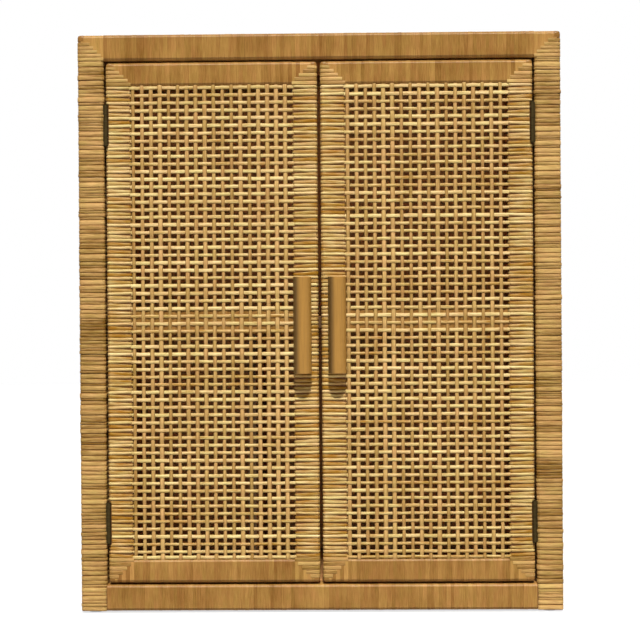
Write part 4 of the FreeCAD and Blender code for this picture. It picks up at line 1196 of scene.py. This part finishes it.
class CABINET_OT_cover_top(Operator):
    """Lay strands of cane side by side over the top panel"""

    bl_idname = "cane_cabinet.cover_top"
    bl_label = "Cover the Top"

    def execute(self, context):
        winding = settings().winding
        top = node_box("top_cane")
        one = Strands()
        path = [Step(Vector((top.low.x + top.size.x * step / TOP_STEPS, 0, top.size.z / 2)), Z)
                for step in range(TOP_STEPS + 1)]
        one.lay(path, Y * winding.rail_strand, wound_profile(winding.top_groove, RAIL_CROWN))
        inputs = winding_inputs({
            "Unevenness": RAIL_UNEVENNESS, "Lean": 0.0, "Proud": 0.0, "Seed": 51,
            "Start": Vector((0, top.low.y, top.middle.z)), "Axis": Y, "Length": top.size.y,
            "Strand Width": winding.rail_strand, "Material": rail_cane_finish()})
        mesh = grown("top_strands", one.mesh("top_strand"), winding_tree(), inputs)
        hand_over(join("top_covering", [mesh]), "cabinet", "wound_cane", "top_cane")
        return {"FINISHED"}


# ---------------------------------------------------------------- doors

MIDDLE_RISE = 3.6 * MM      # how much more cane a middle rail has above its wood than below
DOOR_CORNER_STRANDS = 6
STILE_CORNER_LIFT, RAIL_CORNER_LIFT = 0.15 * MM, -0.25 * MM
STILE_CROWN, FILLING_CROWN = 0.2, 0.3
FILLING_GROOVE, FILLING_FAR_GROOVE = 1.0 * MM, 0.6 * MM
OVER_HINGE, BESIDE_HINGE = 1.6 * MM, 1.2 * MM       # room that the strands leave a hinge


def door_parts(side):
    """The boxes of a door, of its woven opening, and of its stiles and rails, from its nodes.
    The rails are the bottom, the top and the middle one."""
    door = node_box(f"{side}_door_winding")
    woven = node_box(f"{side}_door_cane")
    middle = node_box(f"{side}_door_middle_rail").grown(wrap)
    stiles = (door.with_range(0, door.low.x, woven.low.x),
              door.with_range(0, woven.high.x, door.high.x))
    across = door.with_range(0, woven.low.x, woven.high.x)
    rails = (across.with_range(2, door.low.z, woven.low.z),
             across.with_range(2, woven.high.z, door.high.z),
             across.with_range(1, middle.low.y, middle.high.y)
                   .with_range(2, middle.low.z, middle.high.z + MIDDLE_RISE))
    return door, woven, stiles, rails


def door_corners(door, woven, lowest, stile_strands, rail_strands):
    """Lays the mitred corners of a door, on its front and its back, and returns their caps.
    The stiles' strands end at the lowest height given."""
    winding = settings().winding
    caps = []
    for out_x, x, inner_x in ((-1, door.low.x, woven.low.x), (1, door.high.x, woven.high.x)):
        for out_z, z, inner_z in ((-1, door.low.z, lowest), (1, door.high.z, woven.high.z)):
            corner = Vector((x, door.low.y, z))
            side_out, end_out = X * out_x, Z * out_z
            wide, tall = abs(inner_x - x), abs(inner_z - z)
            mitre(stile_strands, corner, -side_out, -end_out, (-Y, side_out), (wide, tall),
                  door.size.y, DOOR_CORNER_STRANDS, winding.corner_groove, STILE_CORNER_LIFT,
                  seed=11 + out_x + 3 * out_z, backed=True)
            mitre(rail_strands, corner, -end_out, -side_out, (-Y, end_out), (tall, wide),
                  door.size.y, DOOR_CORNER_STRANDS, winding.rail_groove, RAIL_CORNER_LIFT,
                  seed=19 + out_x + 3 * out_z, backed=True)
            far = corner - (side_out * wide + end_out * tall) / 3 + Y * door.size.y
            caps.append(corner_cap(corner, far))
    return caps


def clear_hinges(mesh, side):
    """Draws the strands in beside the hinges, as far as the hinge leaves reach."""
    name = f"{side}_hinge_leaves"
    heights = sorted(vertex.co.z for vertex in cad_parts[name].data.vertices)
    middle = (heights[0] + heights[-1]) / 2
    lower = [z for z in heights if z < middle]
    upper = [z for z in heights if z > middle]
    if side == "left":
        limit, inwards = node_box(name).high.x + BESIDE_HINGE, max
    else:
        limit, inwards = node_box(name).low.x - BESIDE_HINGE, min
    for vertex in mesh.vertices:
        for low, high in ((lower[0], lower[-1]), (upper[0], upper[-1])):
            if low - OVER_HINGE < vertex.co.z < high + OVER_HINGE:
                vertex.co.x = inwards(vertex.co.x, limit)


class CABINET_OT_wind_doors(Operator):
    """Wind cane round the stiles and rails of both doors"""

    bl_idname = "cane_cabinet.wind_doors"
    bl_label = "Wind the Doors"

    def execute(self, context):
        winding, weave = settings().winding, settings().weave
        for turn, side in enumerate(SIDES):
            door, woven, stiles, rails = door_parts(side)
            first_row = woven.high.z - weave.strand_width / 2
            count = round((first_row - woven.low.z) / weave.row_pitch)
            lowest = first_row + weave.row_pitch / 4 - count * weave.row_pitch
            # Each woven strand runs on round the stile, standing out from the flatter strand
            # of filling below it.
            woven_on = StileStrand(
                drop=0.0, width=winding.stile_strand, back=0.0, lost=winding.narrowing,
                profile=wound_profile(winding.stile_groove, STILE_CROWN,
                                      winding.stile_groove / 2),
                tone=winding.stile_tone, seed=61 + turn)
            # The filling's low tone is partly its own and partly painted shade of a strand that
            # lies lower than the round ones.
            filling = StileStrand(
                drop=weave.row_pitch / 2, width=winding.filling_strand,
                back=winding.filling_step, lost=-2 * winding.narrowing,
                profile=wound_profile(FILLING_GROOVE, FILLING_CROWN, FILLING_FAR_GROOVE),
                tone=winding.filling_tone, seed=65 + turn)
            meshes = [wind_stile(f"{side}_stile_strands", stile, kind, first_row, count,
                                 narrow_side)
                      for stile, narrow_side in zip(stiles, (1, -1))
                      for kind in (woven_on, filling)]
            tones = (winding.tone, winding.tone, winding.middle_tone)
            for number, (rail, tone) in enumerate(zip(rails, tones)):
                inputs = rail_inputs({"Tone Middle": tone, "Seed": 71 + 5 * turn + number})
                meshes.append(wind(f"{side}_rail_strands", rail, 0, winding.rail_strand,
                                   winding.rail_groove, RAIL_CROWN, inputs))
            stile_corners, rail_corners = Strands(), Strands()
            meshes += door_corners(door, woven, lowest, stile_corners, rail_corners)
            meshes.append(stile_corners.mesh("stile_corner_strands", post_cane_finish()))
            meshes.append(rail_corners.mesh("door_rail_corner_strands", rail_cane_finish()))
            piece = join(f"{side}_door_cane_winding", meshes)
            clear_hinges(piece.data, side)
            hand_over(piece, f"{side}_door", "wound_cane", f"{side}_door_winding")
        return {"FINISHED"}


# ---------------------------------------------------------------- weaving

DOOR_COLUMNS, DOOR_ROWS, SIDE_COLUMNS = 18, 63, 23
STEPS_PER_CROSSING = 3      # lengthwise pieces of a strand, which let it wave
BORDER_STEPS = 12           # and those added for a level strand's two ends
# How far the strands lie out from the weave's middle plane where they go under their border.
DOOR_LEVEL_LIFT, SIDE_LEVEL_LIFT, UPRIGHT_LIFT = -0.3 * MM, -1.0 * MM, -1.2 * MM
NO_LIMIT = Vector((-10, -10, -10))      # lower than any row, so it holds none back


def straight_strand(along, across, outward, half_length, steps, profile):
    """One straight strand, centred on the origin."""
    one = Strands()
    path = [Step(along * (-half_length + 2 * half_length * n / steps), outward)
            for n in range(steps + 1)]
    one.lay(path, across, profile)
    return one.mesh("strand")


def woven_pair(name, panel, along, outward, plane, columns, rows, row_pitch, level_lift, seeds):
    """The level and upright strands of one woven panel, which runs along an axis and faces
    outward. plane is a point on its middle plane, and seeds are the level and the upright
    strands'."""
    weave = settings().weave
    axis = 0 if along == X else 1
    width, height = panel.size[axis], panel.size.z
    column_pitch = width / columns
    half_strand = weave.strand_width / 2
    first_column = panel.low[axis] + weave.upright_width / 2
    first_row = panel.high.z - half_strand
    profile = woven_profile(weave.strand_thickness)
    sunk = outward * (weave.strand_thickness / 2)
    base = Vector(plane)
    shared = {"Outward": outward, "Wave": weave.wave, "Wander": weave.wander, "Band": 1.0,
              "Width Change": weave.width_change, "Tone Spread": weave.tone_spread}

    half_length = width / 2 + weave.tuck
    strand = straight_strand(along, Z * weave.strand_width, outward, half_length,
                             columns * STEPS_PER_CROSSING + BORDER_STEPS, profile)
    centre = base + along * panel.middle[axis]
    level = grown(f"{name}_level", strand, weaving_tree(), {
        **shared, "Rows": rows, "Row Step": -Z * row_pitch,
        "First Row": centre + Z * first_row + sunk,
        "Row Limit": centre + Z * (panel.low.z + half_strand) + sunk,
        "First Crossing": base + along * first_column, "Crossing Step": along,
        "Crossing Pitch": column_pitch, "Woven Middle": centre, "Woven Half": width / 2,
        "Strand Half": half_length, "Border Lift": level_lift, "Parity": 0.0,
        "Tone Middle": weave.level_tone, "Seed": seeds[0], "Material": level_cane_finish()})

    half_length = height / 2 + weave.tuck
    strand = straight_strand(Z, along * weave.upright_width, outward, half_length,
                             rows * STEPS_PER_CROSSING, profile)
    centre = base + Z * panel.middle.z
    upright = grown(f"{name}_upright", strand, weaving_tree(), {
        **shared, "Rows": columns, "Row Step": along * column_pitch,
        "First Row": centre + along * first_column + sunk, "Row Limit": NO_LIMIT,
        "First Crossing": base + Z * first_row, "Crossing Step": Z,
        "Crossing Pitch": row_pitch, "Woven Middle": centre, "Woven Half": height / 2,
        "Strand Half": half_length, "Border Lift": UPRIGHT_LIFT, "Parity": 1.0,
        "Tone Middle": weave.upright_tone, "Seed": seeds[1],
        "Material": upright_cane_finish()})
    return [level, upright]


class CABINET_OT_weave_doors(Operator):
    """Weave the cane panels of both doors"""

    bl_idname = "cane_cabinet.weave_doors"
    bl_label = "Weave the Doors"

    def execute(self, context):
        weave = settings().weave
        for turn, side in enumerate(SIDES):
            woven = node_box(f"{side}_door_cane")
            plane = (0, woven.low.y + weave.strand_thickness, 0)
            meshes = woven_pair(f"{side}_door", woven, X, -Y, plane, DOOR_COLUMNS, DOOR_ROWS,
                                weave.row_pitch, DOOR_LEVEL_LIFT, (61 + turn, 81 + turn))
            piece = join(f"{side}_door_weave", meshes)
            clear_hinges(piece.data, side)
            hand_over(piece, f"{side}_door", "woven_cane", f"{side}_door_cane")
        return {"FINISHED"}


class CABINET_OT_weave_sides(Operator):
    """Weave the cane panels of the cabinet's sides"""

    bl_idname = "cane_cabinet.weave_sides"
    bl_label = "Weave the Sides"

    def execute(self, context):
        weave = settings().weave
        for turn, side in enumerate(SIDES):
            panel = node_box(f"{side}_side_cane")
            outward = -X if side == "left" else X
            surface = panel.low.x if side == "left" else panel.high.x
            plane = (surface - outward.x * weave.strand_thickness, 0, 0)
            rows = round((panel.size.z - weave.strand_width) / weave.row_pitch) + 1
            pitch = (panel.size.z - weave.strand_width) / (rows - 1)
            meshes = woven_pair(f"{side}_side", panel, Y, outward, plane, SIDE_COLUMNS, rows,
                                pitch, SIDE_LEVEL_LIFT, (91 + turn, 95 + turn))
            hand_over(join(f"{side}_side_weave", meshes), "cabinet", "woven_cane",
                      f"{side}_side_cane")
        return {"FINISHED"}


# ---------------------------------------------------------------- finishes of the solids

class CABINET_OT_finish_solids(Operator):
    """Give the wood, metal and plastic parts their finishes"""

    bl_idname = "cane_cabinet.finish_solids"
    bl_label = "Finish the Solids"

    def execute(self, context):
        finish = settings().finish
        along_grain = {"frame_wood": frame_finish, "stained_plywood": panel_finish}
        by_slot = {
            "pull_wood": pull_finish(),
            # Years of handling have dulled the hinges to a dark brown with paler clouds.
            "aged_brass": metal("Aged brass", finish.aged_brass, patch_size=4 * MM,
                                contrast=0.25, roughness=0.5),
            # Lacquer has kept the shelf pins yellow and bright.
            "bright_brass": metal("Lacquered brass", finish.bright_brass, patch_size=8 * MM,
                                  contrast=0.06, roughness=0.25),
            # Zinc gives the steel a pale, faintly clouded grey.
            "steel": metal("Zinc-plated steel", finish.steel, patch_size=5 * MM,
                           contrast=0.08, roughness=0.35),
            "brown_plastic": moulded_plastic(),
        }
        dividers = divider_finish()
        replaced = {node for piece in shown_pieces() for node in piece.get("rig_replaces", [])}
        for name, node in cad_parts.items():
            if name in replaced:
                continue
            size = node_box(name).size
            longest = max(range(3), key=lambda axis: size[axis])
            for place, slot in enumerate(node.material_slots):
                kind = slot.material.name if slot.material else None
                if name == "record_dividers":
                    slot.material = dividers
                elif kind in along_grain:
                    slot.material = along_grain[kind](longest)
                elif kind in by_slot:
                    slot.material = by_slot[kind]
                else:
                    raise RuntimeError(f"{name} has no finish for slot {place}")
        return {"FINISHED"}


# ---------------------------------------------------------------- stage

LAMP_DISTANCE = 4.0         # where a far lamp's object stands; its light is the same anywhere
FLASH_RADIUS = 30 * MM
BACK_SIDE, BACK_HEIGHT, BACK_SPREAD = (math.radians(degrees) for degrees in (145, 32, 40))
FLOOR_REACH = 8.0
SEEN_FLOOR = (0.85, 0.85, 0.85, 1)
FLOOR_VEIL = 0.7            # how much of the seen floor is plain white


def camera_axes(turn, tilt, roll):
    """The camera's right, up and forward directions."""
    forward = Vector((math.sin(turn) * math.cos(tilt), math.cos(turn) * math.cos(tilt),
                      math.sin(tilt)))
    level_right = Vector((math.cos(turn), -math.sin(turn), 0))
    level_up = level_right.cross(forward)
    right = level_right * math.cos(roll) + level_up * math.sin(roll)
    up = level_up * math.cos(roll) - level_right * math.sin(roll)
    return right, up, forward


def camera_place(stage):
    return Vector((stage.offset, carcass.low.y - stage.distance, stage.height))


def place_camera(stage):
    data = bpy.data.cameras.new("Camera")
    data.sensor_width = 36
    data.lens = data.sensor_width / 2 / math.tan(stage.field / 2)
    camera = bpy.data.objects.new("Camera", data)
    bpy.context.scene.collection.objects.link(camera)
    right, up, forward = camera_axes(stage.turn, stage.tilt, stage.roll)
    turned = Matrix((right, up, -forward)).transposed().to_4x4()
    camera.matrix_world = Matrix.Translation(camera_place(stage)) @ turned
    bpy.context.scene.camera = camera


def place_lamp(name, strength, spread, side, height):
    """A lamp far away, seen from the cabinet at an angle to the right of straight ahead and at
    a height above the horizon. Its spread is its apparent size."""
    data = bpy.data.lights.new(name, "SUN")
    data.energy = strength
    data.angle = spread
    lamp = bpy.data.objects.new(name, data)
    bpy.context.scene.collection.objects.link(lamp)
    towards = Vector((math.sin(side) * math.cos(height), -math.cos(side) * math.cos(height),
                      math.sin(height)))
    lamp.rotation_euler = (-towards).to_track_quat("-Z", "Y").to_euler()
    lamp.location = towards * LAMP_DISTANCE


def place_flash(stage):
    """A weak lamp at the camera, whose light goes in through the openings of the weave."""
    data = bpy.data.lights.new("Flash", "POINT")
    data.energy = stage.flash_power
    data.shadow_soft_size = FLASH_RADIUS
    lamp = bpy.data.objects.new("Flash", data)
    bpy.context.scene.collection.objects.link(lamp)
    lamp.location = camera_place(stage)
    lamp.visible_glossy = False


def place_lamps(stage):
    """A key lamp in front, and two broad ones behind that light the back and the sides."""
    place_flash(stage)
    place_lamp("Key", stage.key_strength, stage.key_spread, stage.key_side, stage.key_height)
    for name, side in (("Back left", -BACK_SIDE), ("Back right", BACK_SIDE)):
        place_lamp(name, stage.back_strength, BACK_SPREAD, side, BACK_HEIGHT)


def seen_directly(tree):
    """1 where the camera, a reflection or a clear material sees the surface."""
    path = add(tree, "ShaderNodeLightPath")
    either = add(tree, "ShaderNodeMath", {0: path.outputs["Is Camera Ray"],
                                          1: path.outputs["Is Glossy Ray"]}, operation="MAXIMUM")
    return add(tree, "ShaderNodeMath", {0: either.outputs[0],
                                        1: path.outputs["Is Transmission Ray"]},
               operation="MAXIMUM").outputs[0]


def light_room(stage):
    """Even fill light from all round, which looks white to the camera."""
    world = bpy.data.worlds.new("Studio")
    bpy.context.scene.world = world
    world.use_nodes = True
    tree = world.node_tree
    tree.nodes.clear()
    fill = add(tree, "ShaderNodeBackground", {"Color": (*stage.fill_colour, 1),
                                              "Strength": stage.fill_strength})
    white = add(tree, "ShaderNodeBackground", {"Color": (1, 1, 1, 1), "Strength": 1.0})
    mixed = add(tree, "ShaderNodeMixShader", {0: seen_directly(tree), 1: fill.outputs[0],
                                              2: white.outputs[0]})
    add(tree, "ShaderNodeOutputWorld", {"Surface": mixed.outputs[0]})


def lay_floor(stage):
    """A pale floor that keeps the cabinet's shadow and looks white elsewhere."""
    material, tree, shader = new_material("Studio floor")
    seen = seen_directly(tree)
    paint = add(tree, "ShaderNodeMix",
                {0: seen, 6: (*stage.floor_colour, 1), 7: SEEN_FLOOR}, data_type="RGBA")
    tree.links.new(paint.outputs[2], shader.inputs["Base Color"])
    shader.inputs["Roughness"].default_value = 0.9
    glow = add(tree, "ShaderNodeEmission", {"Color": (1, 1, 1, 1), "Strength": 1.0})
    veil = add(tree, "ShaderNodeMath", {0: seen, 1: FLOOR_VEIL}, operation="MULTIPLY")
    mixed = add(tree, "ShaderNodeMixShader", {0: veil.outputs[0], 1: shader.outputs[0],
                                              2: glow.outputs[0]})
    output = next(node for node in tree.nodes if node.type == "OUTPUT_MATERIAL")
    tree.links.new(mixed.outputs[0], output.inputs["Surface"])
    mesh = bpy.data.meshes.new("floor")
    reach = FLOOR_REACH
    mesh.from_pydata([(-reach, -reach, 0), (reach, -reach, 0), (reach, reach, 0),
                      (-reach, reach, 0)], [], [(0, 1, 2, 3)])
    mesh.materials.append(material)
    floor = bpy.data.objects.new("floor", mesh)
    bpy.context.scene.collection.objects.link(floor)
    floor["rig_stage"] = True


class CABINET_OT_set_stage(Operator):
    """Set up the floor, the lamps and the camera"""

    bl_idname = "cane_cabinet.set_stage"
    bl_label = "Set the Stage"

    def execute(self, context):
        stage = settings().stage
        lay_floor(stage)
        light_room(stage)
        place_lamps(stage)
        place_camera(stage)
        context.scene.view_settings.view_transform = "Standard"
        return {"FINISHED"}


# ---------------------------------------------------------------- panel and main

OPERATORS = (
    CABINET_OT_wind_posts,
    CABINET_OT_wind_rails,
    CABINET_OT_cover_top,
    CABINET_OT_wind_doors,
    CABINET_OT_weave_doors,
    CABINET_OT_weave_sides,
    CABINET_OT_finish_solids,
    CABINET_OT_set_stage,
)


class CABINET_PT_steps(Panel):
    """Lists the steps in the order in which they are run"""

    bl_label = "Cane Record Cabinet"
    bl_idname = "CABINET_PT_steps"
    bl_space_type = "VIEW_3D"
    bl_region_type = "UI"
    bl_category = "Cabinet"

    def draw(self, context):
        column = self.layout.column()
        for step in OPERATORS:
            column.operator(step.bl_idname)
        for group in ("winding", "weave", "finish", "stage"):
            box = self.layout.box()
            owner = getattr(context.scene.cane_cabinet, group)
            for name in type(owner).__annotations__:
                box.prop(owner, name)


CLASSES = (WindingSettings, WeaveSettings, FinishSettings, StageSettings, CabinetSettings,
           *OPERATORS, CABINET_PT_steps)


def register():
    for cls in CLASSES:
        bpy.utils.register_class(cls)
    bpy.types.Scene.cane_cabinet = PointerProperty(type=CabinetSettings)


def unregister():
    del bpy.types.Scene.cane_cabinet
    for cls in reversed(CLASSES):
        bpy.utils.unregister_class(cls)


def main():
    register()
    bpy.ops.cane_cabinet.wind_posts()
    bpy.ops.cane_cabinet.wind_rails()
    bpy.ops.cane_cabinet.cover_top()
    bpy.ops.cane_cabinet.wind_doors()
    bpy.ops.cane_cabinet.weave_doors()
    bpy.ops.cane_cabinet.weave_sides()
    bpy.ops.cane_cabinet.finish_solids()
    bpy.ops.cane_cabinet.set_stage()


if __name__ == "__main__":
    main()
